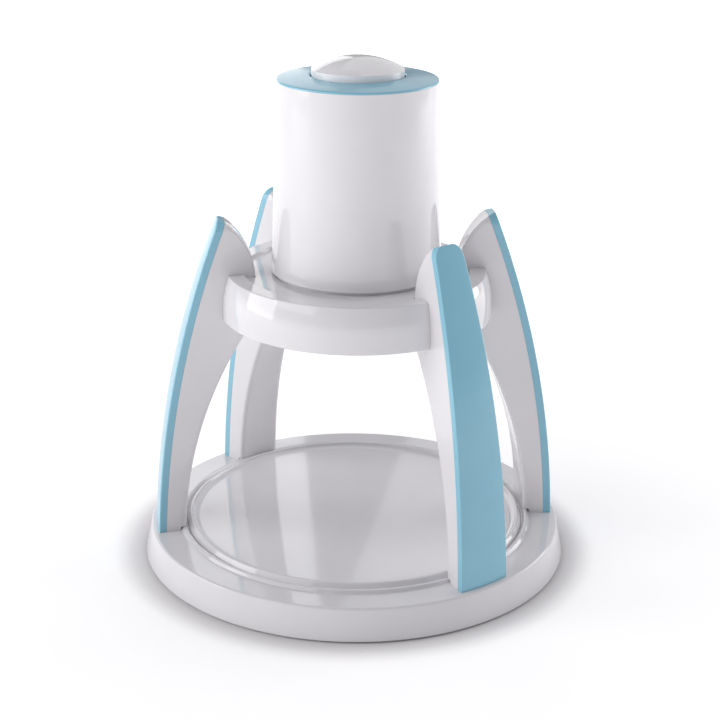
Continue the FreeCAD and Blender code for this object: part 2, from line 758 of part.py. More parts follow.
def make_button_clip():
    """Ring on the stem, under the well's floor, that stops the spring from pushing the button out."""
    body = new_body("button_clip")
    pad_circles(body, [STEM_XY], 3.6, STEM_LOW, 0.8)
    cut_circles(body, [STEM_XY], 2.0, STEM_LOW - 1, 3.0)
    return body


def make_plunger():
    body = new_body("switch_plunger")
    pad_circles(body, [STEM_XY], 1.4, SWITCH_TOP - 4, STEM_LOW - SWITCH_TOP + 4)
    return body


def make_switch():
    body = new_body("run_switch")
    y = STEM_XY[1]
    pad(body, rectangle(SWITCH_X0, y - SWITCH_HALF_W, SWITCH_X1, y + SWITCH_HALF_W),
        SWITCH_LOW, SWITCH_TOP - SWITCH_LOW)
    cut_circles(body, [STEM_XY], 1.6, SWITCH_LOW + 0.6, 9.0)
    for x in (SWITCH_X0 + 3, SWITCH_X1 - 3):
        pad(body, rectangle(x - 1.6, y - 0.4, x + 1.6, y + 0.4), SWITCH_LOW - 3.5, 4.0)
    return body


def hexagon(across):
    corner = across / 2 / math.cos(math.radians(30))
    return ring_points(corner, range(0, 360, 60))


# ---------------------------------------------------------------- gearbox and motor
# The idler meshes with the gear on the axis and with the motor's pinion in front of it.
MOTOR_REACH = (IDLER_WHEEL_TEETH + PINION_TEETH) / 2 * MODULE
IDLER_FROM_MOTOR = math.acos((MOTOR_Y ** 2 + IDLER_REACH ** 2 - MOTOR_REACH ** 2)
                             / (2 * MOTOR_Y * IDLER_REACH))
IDLER_ANGLE = IDLER_FROM_MOTOR - math.pi / 2
IDLER_XY = (IDLER_REACH * math.cos(IDLER_ANGLE), IDLER_REACH * math.sin(IDLER_ANGLE))
MOTOR_XY = (0, -MOTOR_Y)


def cut_bearing_holes(body, low, length):
    """Holes that both gearbox plates share: the drive sleeve's bush and the idler's axle."""
    cut_circles(body, [(0, 0)], SLEEVE_R + 2.0, low, length)
    cut_circles(body, [IDLER_XY], 2.05, low, length)


def make_gearbox_lower_plate():
    body = new_body("gearbox_lower_plate")
    pad_circles(body, [(0, 0)], 45.6, PLATE_LOW_Z, 3.0)
    cut_bearing_holes(body, PLATE_LOW_Z - 1, 5.0)
    cut_circles(body, ring_points(GEARBOX_BOSS_R, GEARBOX_BOSS_ANGLES), 1.6, PLATE_LOW_Z - 1, 5.0)
    return body


def make_gearbox_upper_plate():
    body = new_body("gearbox_upper_plate")
    pad_circles(body, [(0, 0)], 44.6, PLATE_HIGH_Z, 2.5)
    cut_bearing_holes(body, PLATE_HIGH_Z - 1, 5.0)
    cut_circles(body, [MOTOR_XY], 7.6, PLATE_HIGH_Z - 1, 5.0)
    cut_circles(body, motor_screw_points(), 1.3, PLATE_HIGH_Z - 1, 5.0)
    return body


def motor_screw_points():
    return [(0, -MOTOR_Y + 12), (0, -MOTOR_Y - 12)]


def make_posts():
    body = new_body("gearbox_posts")
    low = PLATE_LOW_Z + 3
    pad_circles(body, ring_points(39.5, POST_ANGLES), 3.0, low, PLATE_HIGH_Z - low)
    return body


def make_bush(label, low, length, flange_z):
    body = new_body(label)
    pad_circles(body, [(0, 0)], SLEEVE_R + 2.0, low, length)
    pad_circles(body, [(0, 0)], SLEEVE_R + 3.5, flange_z, 1.0)
    cut_circles(body, [(0, 0)], SLEEVE_R + 0.05, low - 2, length + 6)
    return body


def make_axle():
    body = new_body("idler_axle")
    pad_circles(body, [IDLER_XY], 2.0, PLATE_LOW_Z, PLATE_HIGH_Z + 2.5 - PLATE_LOW_Z)
    return body


def make_motor_can():
    body = new_body("motor_can")
    low = PLATE_HIGH_Z + 2.5
    pad_circles(body, [MOTOR_XY], MOTOR_R, low, 32.0)
    cut_circles(body, [MOTOR_XY], MOTOR_R - 1.2, low + 1.5, 40.0)
    cut_circles(body, [MOTOR_XY], 2.5, low - 1, 4.0)
    cut_circles(body, motor_screw_points(), 1.25, low - 1, 4.0)
    return body


def make_motor_end_cap():
    body = new_body("motor_end_cap")
    low = PLATE_HIGH_Z + 34.5
    pad_circles(body, [MOTOR_XY], MOTOR_R, low, 3.0)
    cut_circles(body, [MOTOR_XY], 1.6, low - 1, 3.3)
    for side in (-1, 1):
        x = 9.0 * side
        pad(body, rectangle(x - 0.4, -MOTOR_Y - 1.6, x + 0.4, -MOTOR_Y + 1.6), low + 2.5, 3.0)
    return body


def make_armature():
    """Motor shaft with its laminated core, turning inside the can."""
    body = new_body("motor_armature")
    pad_circles(body, [MOTOR_XY], 1.5, GEAR_HIGH + 0.5, PLATE_HIGH_Z + 36.4 - GEAR_HIGH - 0.5)
    core_low = PLATE_HIGH_Z + 7
    pad_circles(body, [MOTOR_XY], 11.5, core_low, 22.0)
    for number in range(5):
        angle = 72.0 * number
        x, y = ring_points(11.0, [angle])[0]
        cut_circles(body, [(x, y - MOTOR_Y)], 1.7, core_low - 1, 24.0)
    return body


def gear_outline(teeth, turn, centre=(0, 0)):
    """Outline of an involute spur gear with one tooth centred on the direction turn."""
    pitch_r = teeth * MODULE / 2
    base_r = pitch_r * math.cos(PRESSURE_ANGLE)
    tip_r, root_r = pitch_r + MODULE, pitch_r - 1.25 * MODULE
    lean = math.tan(PRESSURE_ANGLE) - PRESSURE_ANGLE
    half_tooth = math.pi / 2 / teeth - BACKLASH / 2 / pitch_r

    def flank_point(radius, side, middle):
        roll = math.sqrt(max((radius / base_r) ** 2 - 1, 0.0))
        angle = middle + side * (half_tooth + lean - (roll - math.atan(roll)))
        return Vector(centre[0] + radius * math.cos(angle), centre[1] + radius * math.sin(angle), 0)

    start_r = max(base_r, root_r)
    radii = [start_r + (tip_r - start_r) * step / 4 for step in range(5)]
    edges = []
    for tooth in range(teeth):
        middle = turn + 2 * math.pi * tooth / teeth
        after = middle + math.pi / teeth
        right = [flank_point(r, -1, middle) for r in radii]
        left = [flank_point(r, 1, middle) for r in radii[::-1]]
        following = flank_point(start_r, -1, middle + 2 * math.pi / teeth)
        foot = [Vector(centre[0], centre[1], 0) + (p - Vector(centre[0], centre[1], 0)).normalize() * root_r
                for p in (right[0], left[-1], following)]
        bottom = Vector(centre[0] + root_r * math.cos(after), centre[1] + root_r * math.sin(after), 0)
        tip = Vector(centre[0] + tip_r * math.cos(middle), centre[1] + tip_r * math.sin(middle), 0)
        for flank in (right, left):
            curve = Part.BSplineCurve()
            curve.interpolate(flank)
            if flank is right:
                if start_r > root_r:
                    edges.append(Part.LineSegment(foot[0], right[0]).toShape())
                edges.append(curve.toShape())
                edges.append(Part.Arc(right[-1], tip, left[0]).toShape())
            else:
                edges.append(curve.toShape())
                if start_r > root_r:
                    edges.append(Part.LineSegment(left[-1], foot[1]).toShape())
        edges.append(Part.Arc(foot[1], bottom, foot[2]).toShape())
    return Part.Face(Part.Wire(edges))


def spur_gear(teeth, turn, centre, low, thickness):
    face = gear_outline(teeth, turn, centre)
    face.translate(Vector(0, 0, float(low)))
    return face.extrude(Vector(0, 0, float(thickness)))


def cylinder(radius, low, height, centre=(0, 0)):
    base = Vector(float(centre[0]), float(centre[1]), float(low))
    return Part.makeCylinder(float(radius), float(height), base, AXIS_Z)


def hexagonal_bar(across, low, height):
    corners = [Vector(float(x), float(y), float(low)) for x, y in hexagon(across)]
    face = Part.Face(Part.makePolygon(corners + corners[:1]))
    return face.extrude(Vector(0, 0, float(height)))


def make_drive_gear():
    """Output gear and its hexagon-bored sleeve, which turn the pusher shaft."""
    shape = spur_gear(DRIVE_TEETH, IDLER_ANGLE, (0, 0), GEAR_LOW, GEAR_T)
    low = SPRING_TOP - 1.3
    shoulder = SPRING_TOP + 1.2
    shape = shape.fuse(cylinder(SLEEVE_R - 1, low, 8))
    shape = shape.fuse(cylinder(SLEEVE_R, shoulder, PLATE_HIGH_Z + 2 - shoulder))
    hub_low, hub_top = PLATE_LOW_Z + 4.2, PLATE_HIGH_Z - 1.2
    shape = shape.fuse(cylinder(SLEEVE_R + 1.4, hub_low, hub_top - hub_low))
    shape = shape.cut(hexagonal_bar(HEX_FLATS + 0.2, low - 1, 40))
    for x, y in ring_points(13.4, range(0, 360, 60)):
        shape = shape.cut(cylinder(3.2, GEAR_LOW - 1, GEAR_T + 2, (x, y)))
    return placed_feature("drive_gear", shape)


def make_idler_gear():
    """Compound gear: the wheel takes the motor pinion, the small pinion turns the output gear."""
    to_drive = IDLER_ANGLE + math.pi
    small_turn = to_drive + math.pi / PINION_TEETH
    wheel_turn = math.atan2(MOTOR_XY[1] - IDLER_XY[1], MOTOR_XY[0] - IDLER_XY[0])
    shape = spur_gear(PINION_TEETH, small_turn, IDLER_XY, GEAR_LOW, GEAR_HIGH - GEAR_LOW)
    wheel = spur_gear(IDLER_WHEEL_TEETH, wheel_turn, IDLER_XY, GEAR_HIGH, GEAR_T - 1)
    hub_low, hub_top = PLATE_LOW_Z + 3.2, PLATE_HIGH_Z - 0.2
    shape = shape.fuse(wheel).fuse(cylinder(3.6, hub_low, hub_top - hub_low, IDLER_XY))
    shape = shape.cut(cylinder(2.06, hub_low - 1, 20, IDLER_XY))
    return placed_feature("idler_gear", shape)


def make_motor_pinion():
    to_idler = math.atan2(IDLER_XY[1] - MOTOR_XY[1], IDLER_XY[0] - MOTOR_XY[0])
    shape = spur_gear(PINION_TEETH, to_idler + math.pi / PINION_TEETH, MOTOR_XY, GEAR_HIGH, GEAR_T)
    shape = shape.cut(cylinder(1.5, GEAR_HIGH - 1, GEAR_T + 2, MOTOR_XY))
    return placed_feature("motor_pinion", shape)


# ---------------------------------------------------------------- pusher
def make_spring_washer():
    body = new_body("spring_washer")
    pad_circles(body, [(0, 0)], SPRING_R + 2.5, SPRING_TOP, 1.2)
    cut_circles(body, [(0, 0)], SLEEVE_R - 1, SPRING_TOP - 1, 4.0)
    return body


def make_pusher_shaft():
    body = new_body("pusher_shaft")
    low = PUSHER_Z + 2
    pad(body, hexagon(HEX_FLATS), low, SHAFT_TOP - low)
    return body


def make_shaft_clip():
    """Ring on top of the shaft that rests on the sleeve when the pusher is right down."""
    body = new_body("shaft_clip")
    pad_circles(body, [(0, 0)], 6.0, SHAFT_TOP - 1.9, 1.2)
    cut(body, hexagon(HEX_FLATS), SHAFT_TOP - 3, 4.0)
    return body


def make_pusher_disc():
    body = new_body("pusher_disc")
    pad_circles(body, [(0, 0)], PUSHER_R, PUSHER_Z, 3.5)
    pad_circles(body, [(0, 0)], 9.0, PUSHER_Z, 8.0)
    cut(body, hexagon(HEX_FLATS), PUSHER_Z + 2, 10.0)
    cut_circles(body, ring_points(26.0, range(0, 360, 60)), 6.0, PUSHER_Z + 2, 3.0)
    return body


def make_spikes():
    """Small cones under the pusher that grip the ice."""
    body = new_body("pusher_spikes")
    length = 4.6
    spacing = 30
    for radius, first in ((31.0, 0), (16.0, 15)):
        for angle in range(first, 360, spacing * 2):
            sketch = new_sketch(body, "XZ", turn=float(angle))
            draw_outline(sketch, [(radius, PUSHER_Z), (radius, PUSHER_Z - length),
                                  (radius + 0.3, PUSHER_Z - length), (radius + 1.6, PUSHER_Z)])
            feature = body.newObject("PartDesign::Revolution", "spike")
            feature.Profile = sketch
            feature.ReferenceAxis = (sketch, ["Edge2"])
            feature.Angle = 360.0
    return body


def make_spring(label, radius, wire, low, top, turns):
    """A coil spring swept along its helix, from one seat to the other."""
    coil_low = low + wire / 2 + 0.02
    height = top - low - wire - 0.04
    helix = doc.addObject("Part::Helix", label + "_helix")
    helix.Radius = float(radius)
    helix.Height = float(height)
    helix.Pitch = float(height) / turns
    helix.SegmentLength = 1.0
    section = doc.addObject("Part::Circle", label + "_wire")
    section.Radius = wire / 2
    section.Placement = Placement(Vector(float(radius), 0, 0), Rotation(Vector(1, 0, 0), 90))
    spring = doc.addObject("Part::Sweep", label)
    spring.Label = label
    spring.Spine = helix
    spring.Sections = [section]
    spring.Solid = True
    spring.Frenet = True
    spring.Placement = Placement(Vector(0, 0, float(coil_low)), Rotation())
    if hasattr(radius, "text"):
        helix.setExpression("Radius", radius.text)
        section.setExpression("Placement.Base.x", radius.text)
    PARTS.append(spring)
    return spring


# ---------------------------------------------------------------- wiring
def make_inlet():
    """Two-pin appliance inlet at the back of the housing."""
    body = new_body("power_inlet")
    back = 48.6
    depth = 16.0
    low = INLET_Z - 8
    pad(body, rectangle(-11.0, back - depth, 11.0, back), low, 16.0)
    for x in (-4.2, 4.2):
        cut_circles(body, [(x, INLET_Z)], 4.3, -back - 1, 12.0, "XZ")
    cut(body, rectangle(-4.2, INLET_Z - 3.4, 4.2, INLET_Z + 3.4), -back - 1, 12.0, "XZ")
    return body


def make_inlet_pins():
    body = new_body("inlet_pins")
    pad_circles(body, [(-4.2, INLET_Z), (4.2, INLET_Z)], 1.2, -46.0, 8.4, "XZ")
    return body


def make_leads():
    """Insulated leads: inlet to switch, inlet to motor, and switch to motor."""
    y = STEM_XY[1]
    routes = [
        [(-4.2, 31.7, INLET_Z), (-6, 26, INLET_Z), (-17, 16, INLET_Z - 1), (SWITCH_X0 + 3, y, 267.6)],
        [(4.2, 31.7, INLET_Z), (5, 26, INLET_Z), (17, 12, 272), (15, -6, 283), (10.3, -MOTOR_Y, 282)],
        [(SWITCH_X1 - 3, y, 267.6), (-13, 4, 263), (-20, -5, 268), (-19, -10, 283), (-10.3, -MOTOR_Y, 282)],
    ]
    sweeps = []
    for number, route in enumerate(routes):
        points = [Vector(*(float(value) for value in point)) for point in route]
        curve = Part.BSplineCurve()
        curve.buildFromPoles(points)
        spine = doc.addObject("Part::Feature", f"lead_route_{number}")
        spine.Shape = Part.Wire(curve.toShape())
        section = doc.addObject("Part::Circle", f"lead_section_{number}")
        section.Radius = 0.8
        section.Placement = Placement(points[0], Rotation(AXIS_Z, curve.tangent(0)[0]))
        sweep = doc.addObject("Part::Sweep", f"lead_{number}")
        sweep.Spine = spine
        sweep.Sections = [section]
        sweep.Solid = True
        sweeps.append(sweep)
    leads = doc.addObject("Part::Compound", "internal_leads")
    leads.Label = "internal_leads"
    leads.Links = sweeps
    leads.Placement = Placement()
    PARTS.append(leads)
    return leads


def make_all():
    make_base_shell()
    make_base_cover()
    make_feet()
    screws("base_cover_screws", ring_points(COVER_SCREW_R, COVER_SCREW_ANGLES),
           3.1, FOOT_H, 1.3, 1.5, FOOT_H + 1.3, 8.0, drive_from_top=False)
    make_serving_plate()
    for name, side in LEG_SIDES.items():
        make_leg(name, side)
        make_trim(name, side)
    screws("leg_foot_screws", leg_screw_points(),
           3.2, SHELL_TOP_INSIDE - 2.2, 2.2, 1.5, SHELL_TOP_INSIDE, 13.5, drive_from_top=False)
    make_leg_collar_screws()
    make_collar()
    make_collar_cover()
    screws("collar_cover_screws", ring_points(SEAT_R + 5.6, COLLAR_SCREW_ANGLES),
           2.5, COLLAR_LOW + 0.2, 1.0, 1.25, COLLAR_LOW + 1.2, 10.0, drive_from_top=False)
    make_chute()
    make_blade_plate()
    screws("blade_plate_screws", ring_points(DECK_SCREW_R, DECK_SCREW_ANGLES),
           1.65, DECK_Z + DECK_T - 1.4, 1.3, 0.9, DECK_Z - 3.5, 6.1, drive_from_top=True)
    make_blade()
    blade_screws = screws("blade_screws", BLADE_SCREW_XY, 2.6, BLADE_T, 1.0, 1.4, -3.0, BLADE_T + 3.0,
                          drive_from_top=True)
    blade_screws.Placement = blade_place()
    make_ice_cup()
    make_damper()

    make_housing()
    make_cap()
    make_gearbox_lower_plate()
    make_gearbox_upper_plate()
    make_posts()
    screws("gearbox_screws", ring_points(GEARBOX_BOSS_R, GEARBOX_BOSS_ANGLES),
           2.4, PLATE_LOW_Z + 3, 1.6, 1.25, PLATE_LOW_Z - 6, 9.0, drive_from_top=True)
    make_bush("drive_bush_lower", PLATE_LOW_Z, 3.0, PLATE_LOW_Z + 3)
    make_bush("drive_bush_upper", PLATE_HIGH_Z, 2.5, PLATE_HIGH_Z - 1)
    make_axle()
    make_motor_can()
    make_motor_end_cap()
    screws("motor_screws", motor_screw_points(),
           2.2, PLATE_HIGH_Z - 1.1, 1.1, 1.2, PLATE_HIGH_Z, 4.5, drive_from_top=False)
    make_switch()
    make_inlet()
    make_inlet_pins()
    make_leads()

    make_armature()
    make_motor_pinion()
    make_idler_gear()
    make_drive_gear()
    make_spring_washer()
    make_pusher_shaft()
    make_shaft_clip()
    make_pusher_disc()
    make_spikes()
    make_spring("pusher_spring", SPRING_R, 1.2, PUSHER_Z + 3.5, SPRING_TOP, 8)
    make_button()
    make_button_clip()
    make_plunger()
    make_spring("button_spring", 7.5, 0.9, WELL_FLOOR, BUTTON_RIM + 2.2, 5)


def check_and_write():
    """Stop on any failed object or bad shape, then write one STEP file for each sub-part."""
    doc.recompute()
    for item in doc.Objects:
        if "Invalid" in item.State or "Error" in item.State:
            raise RuntimeError(f"{item.Name} failed: {item.State}")
    os.makedirs("parts", exist_ok=True)
    for item in PARTS:
        shape = item.Shape
        if shape.isNull() or not shape.isValid() or not shape.Solids:
            raise RuntimeError(f"{item.Label} has no valid solid")
        shape.exportStep(f"parts/{item.Label}.step")
        box = shape.BoundBox
        print(f"{item.Label:24s} solids {len(shape.Solids):2d}  volume {shape.Volume:10.1f}"
              f"  z {box.ZMin:7.2f} to {box.ZMax:7.2f}  r {max(box.XMax, -box.XMin):6.1f}")


make_all()
check_and_write()
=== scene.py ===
"""Looks of the shaved ice machine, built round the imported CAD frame.  Metres, +Z up, front to -Y."""
import json
import math

import bmesh
import bpy
from mathutils import Matrix, Vector


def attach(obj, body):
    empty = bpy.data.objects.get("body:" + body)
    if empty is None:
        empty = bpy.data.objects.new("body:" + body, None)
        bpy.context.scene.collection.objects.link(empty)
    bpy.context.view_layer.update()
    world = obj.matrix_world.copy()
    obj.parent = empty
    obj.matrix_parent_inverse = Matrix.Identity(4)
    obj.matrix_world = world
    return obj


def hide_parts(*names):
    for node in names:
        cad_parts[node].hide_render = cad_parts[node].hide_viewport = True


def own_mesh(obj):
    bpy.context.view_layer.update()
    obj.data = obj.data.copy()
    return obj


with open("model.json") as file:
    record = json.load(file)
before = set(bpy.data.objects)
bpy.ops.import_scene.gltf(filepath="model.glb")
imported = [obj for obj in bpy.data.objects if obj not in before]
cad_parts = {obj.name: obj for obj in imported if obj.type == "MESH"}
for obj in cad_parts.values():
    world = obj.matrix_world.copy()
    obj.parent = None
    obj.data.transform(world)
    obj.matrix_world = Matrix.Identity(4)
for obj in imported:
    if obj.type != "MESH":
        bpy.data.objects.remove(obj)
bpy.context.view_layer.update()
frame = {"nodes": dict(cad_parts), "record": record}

NODES = frame["nodes"]
MM = 0.001

# ---------------------------------------------------------------- sizes, in millimetres
BASE_R, BASE_TOP_R, BASE_TOP = 130.0, 125.9, 19.8
BEAD_R, PLATE_R, PLATE_TOP = 107.0, 104.0, 20.6
SHELL_FLOOR = BASE_TOP - 2.8

LEG_OUT_R, LEG_OUT_X, LEG_OUT_Z = 579.4, 456.0, 3.0
SEAM_R = LEG_OUT_R - 4.6
LEG_TOP, LEG_TIP_X = 212.0, 82.03
SEAM_TOP_X, SEAM_TOP_Z = 77.75, 210.29
LEG_IN_R, LEG_IN_X, LEG_IN_Z = 226.7, 120.9, 15.3
LEG_ROOT_R, LEG_HEAD_R, UNDER_COLLAR = 60.5, 43.0, 151.7
LEG_SPREAD, LEG_HALF_TIP, TIP_ROUND = 0.185, 9.9, 7.0
LEG_ANGLES = {"front_right": -30.0, "front_left": -150.0, "back_right": 30.0, "back_left": 150.0}

COLLAR_R, COLLAR_LOW, COLLAR_TOP, COLLAR_FLOOR = 80.7, 152.4, 179.0, 177.0
LIP_IN_R, SEAT_R, SEAT_Z, BORE_R, DECK_Z = 67.3, 48.8, 170.5, 44.5, 159.0

HOUSE_R, HOUSE_TOP_R, HOUSE_LOW, HOUSE_TOP, HOUSE_WALL = 50.4, 46.5, 178.7, 290.5, 2.4
SPIGOT_R, SPIGOT_LOW = 48.3, 172.0
INLET_Z, INLET_HALF_W, INLET_HALF_H = 262.0, 11.1, 8.1
CAP_CROWN, WELL_R, WELL_FLOOR = 293.6, 27.2, 286.5
BUTTON_R, BUTTON_RIM, BUTTON_TOP = 26.7, 297.4, 304.4

# Each spring shortens a little more than its joint travels, to clear its seats at the limit.
BUTTON_SPRING_R, BUTTON_SPRING_WIRE, BUTTON_SPRING_TOP, BUTTON_TRAVEL = 7.5, 0.9, 299.6, 3.1
FEED_SPRING_R, FEED_SPRING_WIRE, FEED_SPRING_LOW, FEED_SPRING_TOP = 12.5, 1.2, 172.5, 221.5
SPRING_GAP, FLAT_TURNS = 0.05, 0.9


# ---------------------------------------------------------------- outlines
def arc_between(start, end, radius, steps):
    """Points of the minor arc after start up to end; a positive radius turns left."""
    (x0, y0), (x1, y1) = start, end
    length = math.hypot(x1 - x0, y1 - y0)
    if length < 1e-9:
        return [end] * steps
    reach = math.sqrt(max(radius * radius - length * length / 4, 0.0))
    side = 1 if radius > 0 else -1
    cx = (x0 + x1) / 2 - (y1 - y0) / length * reach * side
    cy = (y0 + y1) / 2 + (x1 - x0) / length * reach * side
    first = math.atan2(y0 - cy, x0 - cx)
    sweep = math.atan2(y1 - cy, x1 - cx) - first
    sweep = (sweep + math.pi) % (2 * math.pi) - math.pi
    return [(cx + abs(radius) * math.cos(first + sweep * k / steps),
             cy + abs(radius) * math.sin(first + sweep * k / steps)) for k in range(1, steps + 1)]


def rounded_corner(before, corner, after, radius, steps):
    """The points that round one corner of an outline."""
    a = Vector((before[0] - corner[0], before[1] - corner[1])).normalized()
    b = Vector((after[0] - corner[0], after[1] - corner[1])).normalized()
    half = math.acos(max(-1.0, min(1.0, a.dot(b)))) / 2
    reach = radius / math.tan(half)
    start = (corner[0] + a.x * reach, corner[1] + a.y * reach)
    end = (corner[0] + b.x * reach, corner[1] + b.y * reach)
    turn = a.x * b.y - a.y * b.x
    return [start] + arc_between(start, end, -radius if turn > 0 else radius, steps)


def outline(corners, steps=6):
    """Outline from corners (x, y), (x, y, "round", r) or (x, y, "arc", r): an arc leads to the corner."""
    points = []
    count = len(corners)
    for index, corner in enumerate(corners):
        before, here, after = corners[index - 1][:2], corner[:2], corners[(index + 1) % count][:2]
        if len(corner) == 2:
            points.append(here)
        elif corner[2] == "arc":
            points += arc_between(before, here, corner[3], max(steps, int(math.dist(before, here) / 2.5)))
        else:
            points += rounded_corner(before, here, after, corner[3], steps)
    return points


# ---------------------------------------------------------------- meshes
def finish_piece(name, bm, body, slot, nodes, look=None, sharp=32.0):
    """Turn a bmesh in millimetres into a piece, smooth except over its real corners."""
    bmesh.ops.remove_doubles(bm, verts=bm.verts, dist=1e-4)
    bmesh.ops.recalc_face_normals(bm, faces=bm.faces)
    bmesh.ops.scale(bm, vec=(MM, MM, MM), verts=bm.verts)
    mesh = bpy.data.meshes.new(name)
    bm.to_mesh(mesh)
    bm.free()
    mesh.shade_smooth()
    mesh.set_sharp_from_angle(angle=math.radians(sharp))
    mesh.materials.append(MATERIALS[look or slot])
    piece = bpy.data.objects.new(name, mesh)
    bpy.context.scene.collection.objects.link(piece)
    even = piece.modifiers.new("even_normals", "WEIGHTED_NORMAL")
    even.keep_sharp = True
    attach(piece, body)
    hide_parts(*nodes)
    return piece


def join_rings(bm, rings, closed_profile=True, closed_ring=True, skip=None):
    """Faces between neighbouring rings of vertices; a ring of one vertex is a pole."""
    count = len(rings)
    for k in range(count if closed_profile else count - 1):
        a, b = rings[k], rings[(k + 1) % count]
        size = max(len(a), len(b))
        if size == 1:
            continue
        for j in range(size if closed_ring else size - 1):
            i = (j + 1) % size
            if skip and skip(k, j):
                continue
            corners = [a[j if len(a) > 1 else 0], a[i if len(a) > 1 else 0],
                       b[i if len(b) > 1 else 0], b[j if len(b) > 1 else 0]]
            unique = list(dict.fromkeys(corners))
            if len(unique) > 2:
                bm.faces.new(unique)


def lathe(profile, segments=192, bm=None):
    """A body turned about the Z axis from a closed profile of (radius, height)."""
    bm = bm or bmesh.new()
    rings = []
    for radius, z in profile:
        if radius < 1e-6:
            rings.append([bm.verts.new((0, 0, z))])
            continue
        step = 2 * math.pi / segments
        rings.append([bm.verts.new((radius * math.cos(step * j), radius * math.sin(step * j), z))
                      for j in range(segments)])
    join_rings(bm, rings)
    return bm


# ---------------------------------------------------------------- materials
def nodes_of(name):
    material = bpy.data.materials.new(name)
    material.use_nodes = True
    tree = material.node_tree
    shader = tree.nodes["Principled BSDF"]
    place = tree.nodes.new("ShaderNodeTexCoord").outputs["Object"]
    return material, tree, shader, place


def noise(tree, place, scale, detail=3.0, roughness=0.5):
    node = tree.nodes.new("ShaderNodeTexNoise")
    node.inputs["Scale"].default_value = scale
    node.inputs["Detail"].default_value = detail
    node.inputs["Roughness"].default_value = roughness
    tree.links.new(place, node.inputs["Vector"])
    return node.outputs["Fac"]


def spread(tree, value, low, high, start=0.3, end=0.7):
    """Map a 0 to 1 pattern to a range."""
    node = tree.nodes.new("ShaderNodeMapRange")
    for key, number in (("From Min", start), ("From Max", end), ("To Min", low), ("To Max", high)):
        node.inputs[key].default_value = number
    tree.links.new(value, node.inputs["Value"])
    return node.outputs["Result"]


def two_colours(tree, value, first, second):
    node = tree.nodes.new("ShaderNodeMix")
    node.data_type = "RGBA"
    node.inputs["A"].default_value = (*first, 1)
    node.inputs["B"].default_value = (*second, 1)
    tree.links.new(value, node.inputs["Factor"])
    return node.outputs["Result"]


def bumps(tree, shader, layers):
    """Stack bump layers: each is (height, strength, distance in metres)."""
    normal = None
    for height, strength, distance in layers:
        node = tree.nodes.new("ShaderNodeBump")
        node.inputs["Strength"].default_value = strength
        node.inputs["Distance"].default_value = distance
        tree.links.new(height, node.inputs["Height"])
        if normal:
            tree.links.new(normal, node.inputs["Normal"])
        normal = node.outputs["Normal"]
    tree.links.new(normal, shader.inputs["Normal"])


def moulded_plastic(name, colour, shade, rough, coat=0.0, peel=0.05, grain=0.0):
    """Injection-moulded plastic: slight mottling, uneven gloss, moulding waviness and a fine grain."""
    material, tree, shader, place = nodes_of(name)
    mottle = spread(tree, noise(tree, place, 35.0, 4.0), 0.0, 1.0)
    tree.links.new(two_colours(tree, mottle, colour, shade), shader.inputs["Base Color"])
    gloss = spread(tree, noise(tree, place, 60.0, 5.0, 0.6), rough[0], rough[1])
    tree.links.new(gloss, shader.inputs["Roughness"])
    shader.inputs["IOR"].default_value = 1.5
    shader.inputs["Coat Weight"].default_value = coat
    shader.inputs["Coat Roughness"].default_value = 0.03
    layers = [(noise(tree, place, 90.0, 2.0), peel, 0.0004)]
    if grain:
        layers.append((noise(tree, place, 2600.0, 2.0), grain, 0.0001))
    bumps(tree, shader, layers)
    return material


def metal(name, colour, shade, rough, stretch=(1.0, 1.0, 1.0), bump=0.08):
    """Machined or drawn metal, its marks stretched along one way."""
    material, tree, shader, place = nodes_of(name)
    mapping = tree.nodes.new("ShaderNodeMapping")
    mapping.inputs["Scale"].default_value = stretch
    tree.links.new(place, mapping.inputs["Vector"])
    marks = noise(tree, mapping.outputs["Vector"], 900.0, 4.0, 0.6)
    stain = spread(tree, noise(tree, place, 120.0, 4.0), 0.0, 1.0)
    tree.links.new(two_colours(tree, stain, colour, shade), shader.inputs["Base Color"])
    tree.links.new(spread(tree, marks, rough[0], rough[1]), shader.inputs["Roughness"])
    shader.inputs["Metallic"].default_value = 1.0
    bumps(tree, shader, [(marks, bump, 0.0001)])
    return material


def clear_plastic(name):
    material, tree, shader, place = nodes_of(name)
    shader.inputs["Base Color"].default_value = (0.93, 0.96, 0.98, 1)
    shader.inputs["Transmission Weight"].default_value = 1.0
    shader.inputs["IOR"].default_value = 1.49
    haze = spread(tree, noise(tree, place, 220.0, 5.0, 0.7), 0.03, 0.16)
    tree.links.new(haze, shader.inputs["Roughness"])
    bumps(tree, shader, [(noise(tree, place, 140.0, 3.0), 0.1, 0.0003)])
    return material


def rubber(name):
    material, tree, shader, place = nodes_of(name)
    dust = spread(tree, noise(tree, place, 300.0, 5.0, 0.7), 0.0, 1.0, 0.45, 0.75)
    tree.links.new(two_colours(tree, dust, (0.02, 0.02, 0.021), (0.06, 0.058, 0.055)),
                   shader.inputs["Base Color"])
    tree.links.new(spread(tree, dust, 0.55, 0.85, 0.0, 1.0), shader.inputs["Roughness"])
    bumps(tree, shader, [(noise(tree, place, 2400.0, 3.0), 0.25, 0.0002)])
    return material


